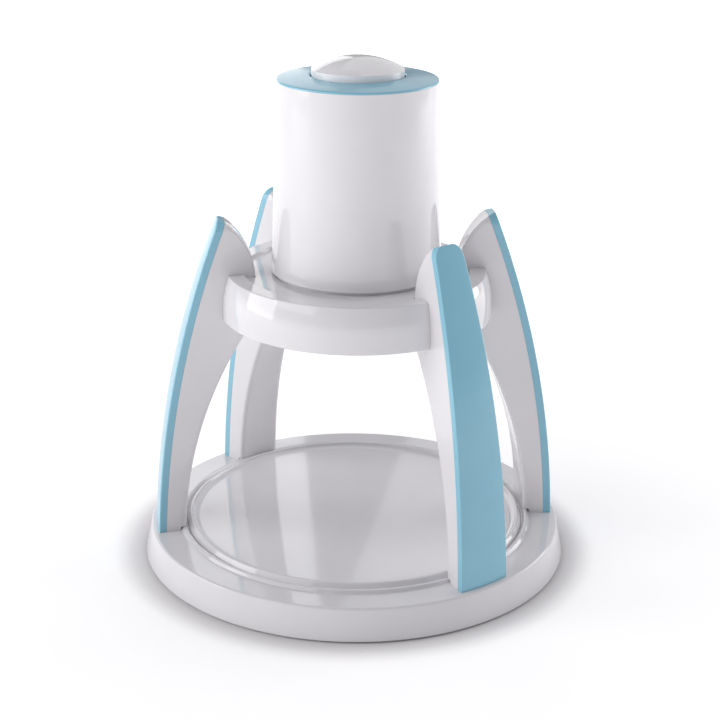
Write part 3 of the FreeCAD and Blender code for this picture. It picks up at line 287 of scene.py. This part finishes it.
MATERIALS = {
    "gloss_white_plastic": moulded_plastic("gloss_white_plastic", (0.80, 0.785, 0.805), (0.77, 0.758, 0.778),
                                           (0.05, 0.10), coat=0.35, peel=0.02),
    "satin_blue_plastic": moulded_plastic("satin_blue_plastic", (0.28, 0.58, 0.72), (0.262, 0.55, 0.69),
                                          (0.14, 0.22), peel=0.03, grain=0.03),
    "white_inner_plastic": moulded_plastic("white_inner_plastic", (0.68, 0.68, 0.69), (0.62, 0.62, 0.63),
                                           (0.38, 0.52), peel=0.08, grain=0.2),
    "clear_plastic": clear_plastic("clear_plastic"),
    "black_plastic": moulded_plastic("black_plastic", (0.018, 0.018, 0.02), (0.03, 0.03, 0.032),
                                     (0.35, 0.5), peel=0.08, grain=0.3),
    "natural_nylon": moulded_plastic("natural_nylon", (0.74, 0.70, 0.60), (0.66, 0.62, 0.52),
                                     (0.38, 0.5), peel=0.08, grain=0.2),
    "rubber": rubber("rubber"),
    "stainless_steel": metal("stainless_steel", (0.62, 0.62, 0.63), (0.52, 0.52, 0.54), (0.18, 0.34),
                             stretch=(0.08, 1.0, 1.0)),
    "spring_steel": metal("spring_steel", (0.42, 0.43, 0.45), (0.34, 0.34, 0.37), (0.25, 0.4)),
    "zinc_steel": metal("zinc_steel", (0.60, 0.61, 0.62), (0.50, 0.51, 0.55), (0.28, 0.42)),
    "sintered_bronze": metal("sintered_bronze", (0.50, 0.33, 0.17), (0.38, 0.24, 0.12), (0.4, 0.55),
                             bump=0.3),
    "brass_plate": metal("brass_plate", (0.72, 0.52, 0.22), (0.60, 0.42, 0.18), (0.2, 0.34)),
    "laminated_iron": metal("laminated_iron", (0.22, 0.21, 0.21), (0.14, 0.13, 0.13), (0.4, 0.55),
                            stretch=(0.1, 0.1, 6.0), bump=0.3),
    "lead_insulation": moulded_plastic("lead_insulation", (0.03, 0.03, 0.035), (0.045, 0.045, 0.05),
                                       (0.4, 0.5), peel=0.05, grain=0.1),
}
# A lighter copy of the gloss white for the button: painted light that brightens the dome's top and side where
# the well round it shades them.
MATERIALS["painted_bright_button_plastic"] = moulded_plastic("painted_bright_button_plastic", (0.93, 0.92, 0.94), (0.91, 0.90, 0.92),
                                              (0.08, 0.14), coat=0.35, peel=0.02)

for entry in frame["record"]["subparts"]:
    node = NODES[entry["node"]]
    node.data.materials.clear()
    node.data.materials.append(MATERIALS[entry["material_slot"]])


# ---------------------------------------------------------------- base and plate
def make_base():
    profile = outline([
        (BASE_R, 1.0, "round", 0.5),
        (BASE_TOP_R - 0.15, BASE_TOP, "round", 1.5),
        (BEAD_R + 2.3, BASE_TOP, "round", 0.35),
        (BEAD_R + 1.9, BASE_TOP + 0.4),
        (BEAD_R + 1.0, BASE_TOP + 1.73),
        (BEAD_R, BASE_TOP + 2.0, "arc", 2.0),
        (BEAD_R - 1.0, BASE_TOP + 1.73, "arc", 2.0),
        (BEAD_R - 1.9, BASE_TOP + 0.4),
        (BEAD_R - 2.1, BASE_TOP - 0.1),
        (PLATE_R + 0.3, BASE_TOP - 0.3, "round", 0.2),
        (PLATE_R + 0.3, SHELL_FLOOR),
        (0.0, SHELL_FLOOR),
        (0.0, SHELL_FLOOR - 2.5),
        (BEAD_R + 0.5, SHELL_FLOOR - 2.5),
        (BEAD_R + 0.5, BASE_TOP - 2.6),
        (BASE_TOP_R - 3.3, BASE_TOP - 2.6),
        (BASE_R - 3.1, 1.0),
    ])
    finish_piece("base_body", lathe(profile, 256), "stand", "gloss_white_plastic", ["base_shell"])


def make_plate():
    rim = PLATE_R
    profile = outline([
        (rim - 8.0, PLATE_TOP),
        (rim - 4.6, PLATE_TOP + 0.75, "arc", 9.0),
        (rim - 3.6, PLATE_TOP + 1.7, "arc", 2.2),
        (rim - 2.7, PLATE_TOP + 2.6, "arc", -1.1),
        (rim - 1.6, PLATE_TOP + 1.9, "arc", -1.1),
        (rim + 0.22, PLATE_TOP - 0.85, "round", 0.3),
        (rim + 0.22, SHELL_FLOOR + 0.02),
        (rim - 1.8, SHELL_FLOOR + 0.02),
        (rim - 1.8, PLATE_TOP - 1.9),
        (30.0, PLATE_TOP - 1.9),
        (30.0, SHELL_FLOOR + 0.02),
        (0.0, SHELL_FLOOR + 0.02),
        (0.0, PLATE_TOP),
    ])
    finish_piece("plate_disc", lathe(profile, 256), "stand", "gloss_white_plastic", ["serving_plate"])


# ---------------------------------------------------------------- legs
def leg_half_width(x):
    return LEG_HALF_TIP + (x - LEG_TIP_X) * LEG_SPREAD


def outer_x(z, radius):
    return math.sqrt(radius ** 2 - (z + LEG_OUT_Z) ** 2) - LEG_OUT_X


def head_centre():
    """Centre of the convex arc over the collar."""
    (x0, y0), (x1, y1) = (SEAM_TOP_X, SEAM_TOP_Z), (LEG_ROOT_R, COLLAR_TOP)
    length = math.hypot(x1 - x0, y1 - y0)
    reach = math.sqrt(LEG_HEAD_R ** 2 - length ** 2 / 4)
    return (x0 + x1) / 2 - (y1 - y0) / length * reach, (y0 + y1) / 2 + (x1 - x0) / length * reach


HEAD_X, HEAD_Z = head_centre()


def inner_x(z):
    if z >= COLLAR_TOP:
        return HEAD_X - math.sqrt(max(LEG_HEAD_R ** 2 - (z - HEAD_Z) ** 2, 0.0))
    if z >= UNDER_COLLAR:
        return LEG_ROOT_R
    return math.sqrt(LEG_IN_R ** 2 - (z - LEG_IN_Z) ** 2) - LEG_IN_X


def side_point(radius, z):
    """Where the leg's side face meets a circle about the axis, with the tip's rounding taken off."""
    offset = LEG_HALF_TIP - LEG_TIP_X * LEG_SPREAD
    a, b, c = 1 + LEG_SPREAD ** 2, 2 * offset * LEG_SPREAD, offset ** 2 - radius ** 2
    x = (-b + math.sqrt(b * b - 4 * a * c)) / (2 * a)
    over = max(z - (LEG_TOP - TIP_ROUND), 0.0)
    y = leg_half_width(x) - TIP_ROUND + math.sqrt(max(TIP_ROUND ** 2 - over ** 2, 0.0))
    return math.sqrt(radius ** 2 - y ** 2), y


def section(z, r_in, r_out, inner_round, outer_round, across=8, corner=5, along=6):
    """Half of a level cut through a leg, from the middle of its outer face to that of its inner face."""
    xo, yo = side_point(r_out, z)
    xi, yi = side_point(r_in, z)
    thick = max(xo - xi, 0.0)
    inner_round = min(inner_round, 0.42 * thick, 0.6 * yi)
    outer_round = min(outer_round, 0.42 * thick, 0.6 * yo)
    out_mid, in_mid = (r_out, 0.0), (r_in, 0.0)
    near_out = (math.sqrt(r_out ** 2 - (yo * 0.8) ** 2), yo * 0.8)
    near_in = (math.sqrt(r_in ** 2 - (yi * 0.8) ** 2), yi * 0.8)
    start = rounded_corner(near_out, (xo, yo), (xi, yi), max(outer_round, 1e-5), corner) if thick > 1e-3 \
        else [(xo, yo)] * (corner + 1)
    end = rounded_corner((xo, yo), (xi, yi), near_in, max(inner_round, 1e-5), corner) if thick > 1e-3 \
        else [(xi, yi)] * (corner + 1)
    points = [out_mid]
    for k in range(1, across):
        y = start[0][1] * k / across
        set_back = (r_out - math.hypot(*start[0])) * (k / across) ** 6
        points.append((math.sqrt(r_out ** 2 - y * y) - set_back, y))
    points += start
    for k in range(1, along):
        t = k / along
        points.append((start[-1][0] + (end[0][0] - start[-1][0]) * t,
                       start[-1][1] + (end[0][1] - start[-1][1]) * t))
    points += end
    for k in range(across - 1, 0, -1):
        y = end[-1][1] * k / across
        points.append((math.sqrt(r_in ** 2 - y * y) + (math.hypot(*end[-1]) - r_in) * (k / across) ** 6, y))
    points.append(in_mid)
    return points


def loft(sections, angle):
    """A closed body through level half sections, mirrored across the leg's middle plane."""
    bm = bmesh.new()
    turn = Matrix.Rotation(math.radians(angle), 3, "Z")
    rings = []
    for z, half in sections:
        whole = half + [(x, -y) for x, y in half[-2:0:-1]]
        rings.append([bm.verts.new(turn @ Vector((x, y, z))) for x, y in whole])
    join_rings(bm, rings, closed_profile=False)
    bm.faces.new(rings[0])
    bm.faces.new(rings[-1])
    return bm


def spaced(low, high, count):
    return [low + (high - low) * k / count for k in range(count)]


def tip_levels(high):
    """Levels that close up towards the top, so the rounded corners stay smooth."""
    low = LEG_TOP - TIP_ROUND
    top = math.asin((high - low) / TIP_ROUND)
    return [low + TIP_ROUND * math.sin(top * k / 16) for k in range(1, 17)]


def make_legs():
    step = BASE_TOP + 2.2
    low_levels = spaced(step, UNDER_COLLAR, 56)
    high_levels = [UNDER_COLLAR, UNDER_COLLAR + 0.01] + spaced(UNDER_COLLAR + 2, COLLAR_TOP, 4)
    head_levels = spaced(COLLAR_TOP, LEG_TOP - TIP_ROUND, 16) + [LEG_TOP - TIP_ROUND]
    for name, angle in LEG_ANGLES.items():
        levels = low_levels + high_levels + head_levels + tip_levels(SEAM_TOP_Z)
        foot = [(z, section(z, BEAD_R + 2.3, outer_x(z, SEAM_R), 1.2, 0.25)) for z in (BASE_TOP, step)]
        rest = []
        for z in levels:
            r_out = outer_x(z, SEAM_R)
            rest.append((z, section(z, min(inner_x(z), r_out - 0.02), r_out, 2.6, 0.25)))
        finish_piece("fin_" + name, loft(foot + rest, angle), "stand", "gloss_white_plastic", ["leg_" + name])


def make_trims():
    edge = 0.8
    for name, angle in LEG_ANGLES.items():
        levels = spaced(BASE_TOP, LEG_TOP - TIP_ROUND, 72) + [LEG_TOP - TIP_ROUND] + tip_levels(SEAM_TOP_Z)
        levels += [SEAM_TOP_Z + (LEG_TOP - 0.02 - SEAM_TOP_Z) * k / 8 for k in range(1, 9)]
        cuts = []
        for z in levels:
            r_in = outer_x(z, SEAM_R + 0.02)
            if z > SEAM_TOP_Z:
                r_in = SEAM_TOP_X + (z - SEAM_TOP_Z) / (LEG_TOP - SEAM_TOP_Z) * (LEG_TIP_X - SEAM_TOP_X)
            over = max(z - (LEG_TOP - edge), 0.0)
            r_out = outer_x(z, LEG_OUT_R) - edge + math.sqrt(edge ** 2 - over ** 2)
            cuts.append((z, section(z, min(r_in, r_out - 0.02), r_out, 0.2, edge, along=3)))
        finish_piece("trim_" + name, loft(cuts, angle), "stand", "satin_blue_plastic", ["leg_trim_" + name])


# ---------------------------------------------------------------- collar
def slot_angle(radius, gap=0.12):
    """Half the angle that a leg's slot takes out of the collar at a radius."""
    offset = LEG_HALF_TIP - LEG_TIP_X * LEG_SPREAD + gap
    a, b, c = 1 + LEG_SPREAD ** 2, 2 * offset * LEG_SPREAD, offset ** 2 - radius ** 2
    x = (-b + math.sqrt(b * b - 4 * a * c)) / (2 * a)
    return math.atan2(offset + LEG_SPREAD * x, x)


def make_collar():
    wall_out = LEG_ROOT_R - 0.1
    cavity_top = COLLAR_TOP - 5.2
    belly = COLLAR_LOW + 5.6
    inner = outline([
        (wall_out, COLLAR_FLOOR),
        (SEAT_R, COLLAR_FLOOR, "round", 0.4),
        (SEAT_R, SEAT_Z),
        (BORE_R, SEAT_Z, "round", 0.3),
        (BORE_R, DECK_Z),
        (BORE_R - 3.5, DECK_Z),
        (BORE_R - 3.5, COLLAR_LOW + 2, "round", 0.3),
        (BORE_R + 3.0, COLLAR_LOW + 2, "round", 0.3),
        (BORE_R + 3.0, SEAT_Z - 3),
        (SEAT_R + 2.7, SEAT_Z - 1),
        (SEAT_R + 2.7, cavity_top),
        (LEG_ROOT_R - 3.1, cavity_top),
        (LEG_ROOT_R - 3.1, COLLAR_LOW + 2, "round", 0.3),
        (wall_out, COLLAR_LOW + 2, "round", 0.3),
    ])
    outer = outline([
        (COLLAR_R, COLLAR_LOW, "round", 0.9),
        (COLLAR_R, belly),
        (COLLAR_R - 3.55, COLLAR_TOP - 0.7, "arc", 57.2),
        (COLLAR_R - 4.25, COLLAR_TOP, "arc", 0.74),
        (LIP_IN_R, COLLAR_TOP, "round", 0.5),
        (LIP_IN_R - 0.5, COLLAR_FLOOR, "round", 0.35),
        (wall_out, COLLAR_FLOOR),
        (wall_out, cavity_top),
        (COLLAR_R - 6.2, cavity_top),
        (COLLAR_R - 3.0, belly, "arc", -54.2),
        (COLLAR_R - 3.0, COLLAR_LOW, "round", 0.3),
    ])
    bm = lathe(inner, 192)
    order = sorted(LEG_ANGLES.values())
    for number, first in enumerate(order):
        second = order[(number + 1) % len(order)] + (360.0 if number + 1 == len(order) else 0.0)
        steps = int((second - first) / 1.6)
        rows = []
        for radius, z in outer:
            lead = slot_angle(radius)
            start, end = math.radians(first) + lead, math.radians(second) - lead
            angles = [start + (end - start) * k / steps for k in range(steps + 1)]
            rows.append([bm.verts.new((radius * math.cos(a), radius * math.sin(a), z)) for a in angles])
        join_rings(bm, rows, closed_ring=False)
        for end in (0, -1):
            bm.faces.new([row[end] for row in rows])
    finish_piece("collar_body", bm, "stand", "gloss_white_plastic", ["collar_ring"])


# ---------------------------------------------------------------- motor unit
def make_housing():
    """The tapered shell, with its window for the inlet cut straight through at the back."""
    window_low, window_high = INLET_Z - INLET_HALF_H, INLET_Z + INLET_HALF_H

    def wall_r(z, inset=0.0):
        return HOUSE_R - (HOUSE_R - HOUSE_TOP_R) * (z - HOUSE_LOW) / (HOUSE_TOP - HOUSE_LOW) - inset

    outside = [(wall_r(z), z) for z in (200, 220, 240, window_low, window_high, 280)]
    inside = [(wall_r(z, HOUSE_WALL), z) for z in (window_high, window_low, 240, 210)]
    foot = outline([(SPIGOT_R - HOUSE_WALL, SPIGOT_LOW, "round", 0.3), (SPIGOT_R, SPIGOT_LOW, "round", 0.4),
                    (SPIGOT_R, HOUSE_LOW), (HOUSE_R, HOUSE_LOW, "round", 0.8), (wall_r(184), 184.0)])
    top = [(HOUSE_TOP_R, HOUSE_TOP), (HOUSE_TOP_R - HOUSE_WALL, HOUSE_TOP)]
    low_inside = [(wall_r(HOUSE_LOW + 3, HOUSE_WALL), HOUSE_LOW + 3), (SPIGOT_R - HOUSE_WALL, HOUSE_LOW)]
    profile = foot + outside + top + inside + low_inside
    segments, window_columns = 240, 20
    bm = bmesh.new()
    rings = []
    for radius, z in profile:
        half = math.asin(INLET_HALF_W / radius)
        angles = [math.pi / 2 - half + 2 * half * k / window_columns for k in range(window_columns)]
        rest = segments - window_columns
        angles += [math.pi / 2 + half + (2 * math.pi - 2 * half) * k / rest for k in range(rest)]
        rings.append([bm.verts.new((radius * math.cos(a), radius * math.sin(a), z)) for a in angles])
    outer_low = len(foot) + 3
    inner_high = len(foot) + len(outside) + len(top)
    join_rings(bm, rings, skip=lambda k, j: k in (outer_low, inner_high) and j < window_columns)
    for low, high in ((rings[outer_low], rings[inner_high + 1]), (rings[outer_low + 1], rings[inner_high])):
        for j in range(window_columns):
            bm.faces.new((low[j], low[j + 1], high[j + 1], high[j]))
    for j in (0, window_columns):
        bm.faces.new((rings[outer_low][j], rings[outer_low + 1][j],
                      rings[inner_high][j], rings[inner_high + 1][j]))
    finish_piece("housing_body", bm, "motor_unit", "gloss_white_plastic", ["housing_shell"])


def make_cap():
    under = WELL_FLOOR - 2.0
    skirt = HOUSE_TOP_R - HOUSE_WALL
    profile = outline([
        (HOUSE_TOP_R, HOUSE_TOP),
        (HOUSE_TOP_R - 0.05, HOUSE_TOP + 1.25, "round", 0.9),
        (WELL_R + 0.9, CAP_CROWN - 0.05, "arc", 260.0),
        (WELL_R, CAP_CROWN - 0.9, "arc", 0.9),
        (WELL_R, WELL_FLOOR, "round", 0.6),
        (0.0, WELL_FLOOR),
        (0.0, under),
        (WELL_R + 2, under),
        (WELL_R + 2, HOUSE_TOP - 1.0),
        (skirt - 2.2, HOUSE_TOP - 1.0),
        (skirt - 2.2, HOUSE_TOP - 4.5),
        (skirt - 0.4, HOUSE_TOP - 4.5),
        (skirt - 0.2, HOUSE_TOP + 0.02),
    ])
    finish_piece("cap_disc", lathe(profile, 224), "motor_unit", "satin_blue_plastic", ["top_cap"])


def make_button():
    edge, wall = 0.55, 1.8
    top_r = BUTTON_R - edge
    rise = BUTTON_TOP - BUTTON_RIM
    dome = (top_r ** 2 + rise ** 2) / (2 * rise)
    skirt_low = WELL_FLOOR + 3.6
    profile = outline([
        (BUTTON_R, skirt_low, "round", 0.4),
        (BUTTON_R, BUTTON_RIM - edge),
        (top_r, BUTTON_RIM, "arc", edge * 1.02),
        (0.0, BUTTON_TOP, "arc", dome),
        (0.0, BUTTON_RIM - 1.2),
        (5.0, BUTTON_RIM - 1.2),
        (5.0, BUTTON_RIM + 2.6),
        (6.5, BUTTON_RIM + 2.6),
        (BUTTON_R - wall, BUTTON_RIM - 1.2),
        (BUTTON_R - wall, skirt_low, "round", 0.4),
    ])
    # The dome takes the lighter white: painted light on the button.
    finish_piece("button_dome", lathe(profile, 192), "run_button", "gloss_white_plastic", ["dome_button"],
                 look="painted_bright_button_plastic")


def make_spring(name, node, body, radius, wire, low, top, turns):
    """A coil spring whose end turns lie flat, on the route and at the length of its CAD solid."""
    around, per_turn = 12, 48
    steps = turns * per_turn
    first, rise = low + wire / 2 + SPRING_GAP, top - low - wire - 2 * SPRING_GAP
    dead = FLAT_TURNS / turns
    bm = bmesh.new()
    rings = []
    for k in range(steps + 1):
        share = k / steps
        eased = min(max((share - dead * 0.5) / (1 - dead), 0.0), 1.0)
        angle = 2 * math.pi * turns * share
        out = Vector((math.cos(angle), math.sin(angle), 0))
        centre = out * radius + Vector((0, 0, first + rise * eased))
        ring = []
        for j in range(around):
            a = 2 * math.pi * j / around
            upward = Vector((0, 0, wire / 2 * math.sin(a)))
            ring.append(bm.verts.new(centre + out * (wire / 2 * math.cos(a)) + upward))
        rings.append(ring)
    join_rings(bm, rings, closed_profile=False)
    bm.faces.new(rings[0])
    bm.faces.new(rings[-1])
    return finish_piece(name, bm, body, "spring_steel", [node])


def make_springs():
    feed = make_spring("feed_spring", "pusher_spring", "drive_sleeve", FEED_SPRING_R,
                       FEED_SPRING_WIRE, FEED_SPRING_LOW, FEED_SPRING_TOP, 8)
    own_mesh(feed)
    back = make_spring("return_spring", "button_spring", "run_button", BUTTON_SPRING_R,
                       BUTTON_SPRING_WIRE, WELL_FLOOR, BUTTON_SPRING_TOP, 5)
    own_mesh(back)


make_base()
make_plate()
make_legs()
make_trims()
make_collar()
make_housing()
make_cap()
make_button()
make_springs()


# ---------------------------------------------------------------- floor, light and camera
FLOOR_HALF, GLOW_REACH = 60.0, 1.6
# The floor's own glow: metres from the middle, then strength. It starts at nothing at the base's edge, so the
# dark ring round the base is a painted contact shadow.
FLOOR_GLOW_AND_PAINTED_SHADOW = ((BASE_R * MM, 0.0), (0.153, 0.44), (0.35, 0.50), (1.1, 0.80))


def make_floor():
    half = FLOOR_HALF
    mesh = bpy.data.meshes.new("floor")
    mesh.from_pydata([(-half, -half, 0), (half, -half, 0), (half, half, 0), (-half, half, 0)], [],
                     [(0, 1, 2, 3)])
    material, tree, shader, place = nodes_of("floor_paper")
    grain = spread(tree, noise(tree, place, 400.0), 0.0, 1.0)
    tree.links.new(two_colours(tree, grain, (0.80, 0.79, 0.80), (0.81, 0.80, 0.81)),
                   shader.inputs["Base Color"])
    shader.inputs["Roughness"].default_value = 0.9
    shader.inputs["Specular IOR Level"].default_value = 0.0
    shader.inputs["Emission Color"].default_value = (1.0, 0.995, 1.0, 1)
    away = tree.nodes.new("ShaderNodeVectorMath")
    away.operation = "LENGTH"
    tree.links.new(place, away.inputs[0])
    # Glow that rises from nothing at the base's edge: a painted contact shadow on the floor round the base.
    glow_and_painted_shadow = tree.nodes.new("ShaderNodeValToRGB")
    glow_and_painted_shadow.color_ramp.interpolation = "EASE"
    for index, (radius, level) in enumerate(FLOOR_GLOW_AND_PAINTED_SHADOW):
        stop = glow_and_painted_shadow.color_ramp.elements[index] if index < 2 else glow_and_painted_shadow.color_ramp.elements.new(1.0)
        stop.position = radius / GLOW_REACH
        stop.color = (level, level, level, 1)
    tree.links.new(spread(tree, away.outputs["Value"], 0.0, 1.0, 0.0, GLOW_REACH), glow_and_painted_shadow.inputs["Fac"])
    tree.links.new(glow_and_painted_shadow.outputs["Color"], shader.inputs["Emission Strength"])
    mesh.materials.append(material)
    floor = bpy.data.objects.new("floor", mesh)
    bpy.context.scene.collection.objects.link(floor)


def area_light(name, place, target, size, power, colour=(1, 1, 1)):
    light = bpy.data.lights.new(name, "AREA")
    light.shape = "RECTANGLE"
    light.size, light.size_y = size
    light.energy = power
    light.color = colour
    lamp = bpy.data.objects.new(name, light)
    lamp.location = place
    lamp.rotation_euler = (Vector(target) - Vector(place)).to_track_quat("-Z", "Y").to_euler()
    bpy.context.scene.collection.objects.link(lamp)
    return lamp


CAMERA_TURN = math.radians(22.0)
CAMERA_PITCH = math.radians(20.23)
CAMERA_ROLL = math.radians(0.528)
CAMERA_BACK, CAMERA_SIDE, CAMERA_HEIGHT = 0.9166, 0.00267, 0.4583


def from_camera(right, back, up):
    """A place given by how far right of, behind (towards the camera) and above the origin it is."""
    c, s = math.cos(CAMERA_TURN), math.sin(CAMERA_TURN)
    return (back * s + right * c, -back * c + right * s, up)


def make_camera():
    camera = bpy.data.cameras.new("camera")
    camera.sensor_width = 36.0
    camera.lens = 80.63
    camera.clip_start, camera.clip_end = 0.05, 200.0
    holder = bpy.data.objects.new("camera", camera)
    holder.location = from_camera(CAMERA_SIDE, CAMERA_BACK, CAMERA_HEIGHT)
    look = Matrix.Rotation(CAMERA_TURN, 4, "Z") @ Matrix.Rotation(math.pi / 2 - CAMERA_PITCH, 4, "X")
    look = look @ Matrix.Rotation(CAMERA_ROLL, 4, "Z")
    holder.rotation_euler = look.to_euler()
    bpy.context.scene.collection.objects.link(holder)
    bpy.context.scene.camera = holder


AIM = (0, 0, 0.15)
LIGHT_REACH = 1.8
SOFT_LIGHT, BACKDROP = 0.27, 1.1
# Degrees round from the camera to the right, degrees up, watts, and metres across.
STUDIO_LIGHTS = {
    "key_left": (-85, 12, 8.4, 1.0),
    "key_front_left": (-60, 38, 12.0, 1.8),
    "rim_right": (110, 12, 10.0, 1.0),
    "top_behind": (145, 38, 9.0, 2.2),
}

# A panel behind the object and to its left, for the reflections: metres and watts.
PANEL_AT, PANEL_SIZE, PANEL_POWER = (-0.70, -1.8, 0.70), (1.25, 1.0), 5.0


def make_light():
    world = bpy.data.worlds.new("studio")
    world.use_nodes = True
    nodes, links = world.node_tree.nodes, world.node_tree.links
    soft = nodes["Background"]
    soft.inputs["Color"].default_value = (0.97, 0.95, 1.0, 1)
    soft.inputs["Strength"].default_value = SOFT_LIGHT
    # Above the floor's far edge the backdrop is as pale as the floor; its light stays soft.
    backdrop = nodes.new("ShaderNodeBackground")
    backdrop.inputs["Color"].default_value = (1.0, 0.995, 1.0, 1)
    backdrop.inputs["Strength"].default_value = BACKDROP
    path = nodes.new("ShaderNodeLightPath")
    pick = nodes.new("ShaderNodeMixShader")
    links.new(path.outputs["Is Camera Ray"], pick.inputs["Fac"])
    links.new(soft.outputs["Background"], pick.inputs[1])
    links.new(backdrop.outputs["Background"], pick.inputs[2])
    links.new(pick.outputs["Shader"], nodes["World Output"].inputs["Surface"])
    bpy.context.scene.world = world
    for name, (azimuth, height, power, across) in STUDIO_LIGHTS.items():
        turn, lift = math.radians(azimuth), math.radians(height)
        level = LIGHT_REACH * math.cos(lift)
        place = from_camera(level * math.sin(turn), level * math.cos(turn),
                            AIM[2] + LIGHT_REACH * math.sin(lift))
        area_light(name, place, AIM, (across, across), power)
    area_light("panel_behind", from_camera(*PANEL_AT), AIM, PANEL_SIZE, PANEL_POWER)


make_floor()
make_light()
make_camera()

bpy.context.scene.view_settings.view_transform = "Standard"
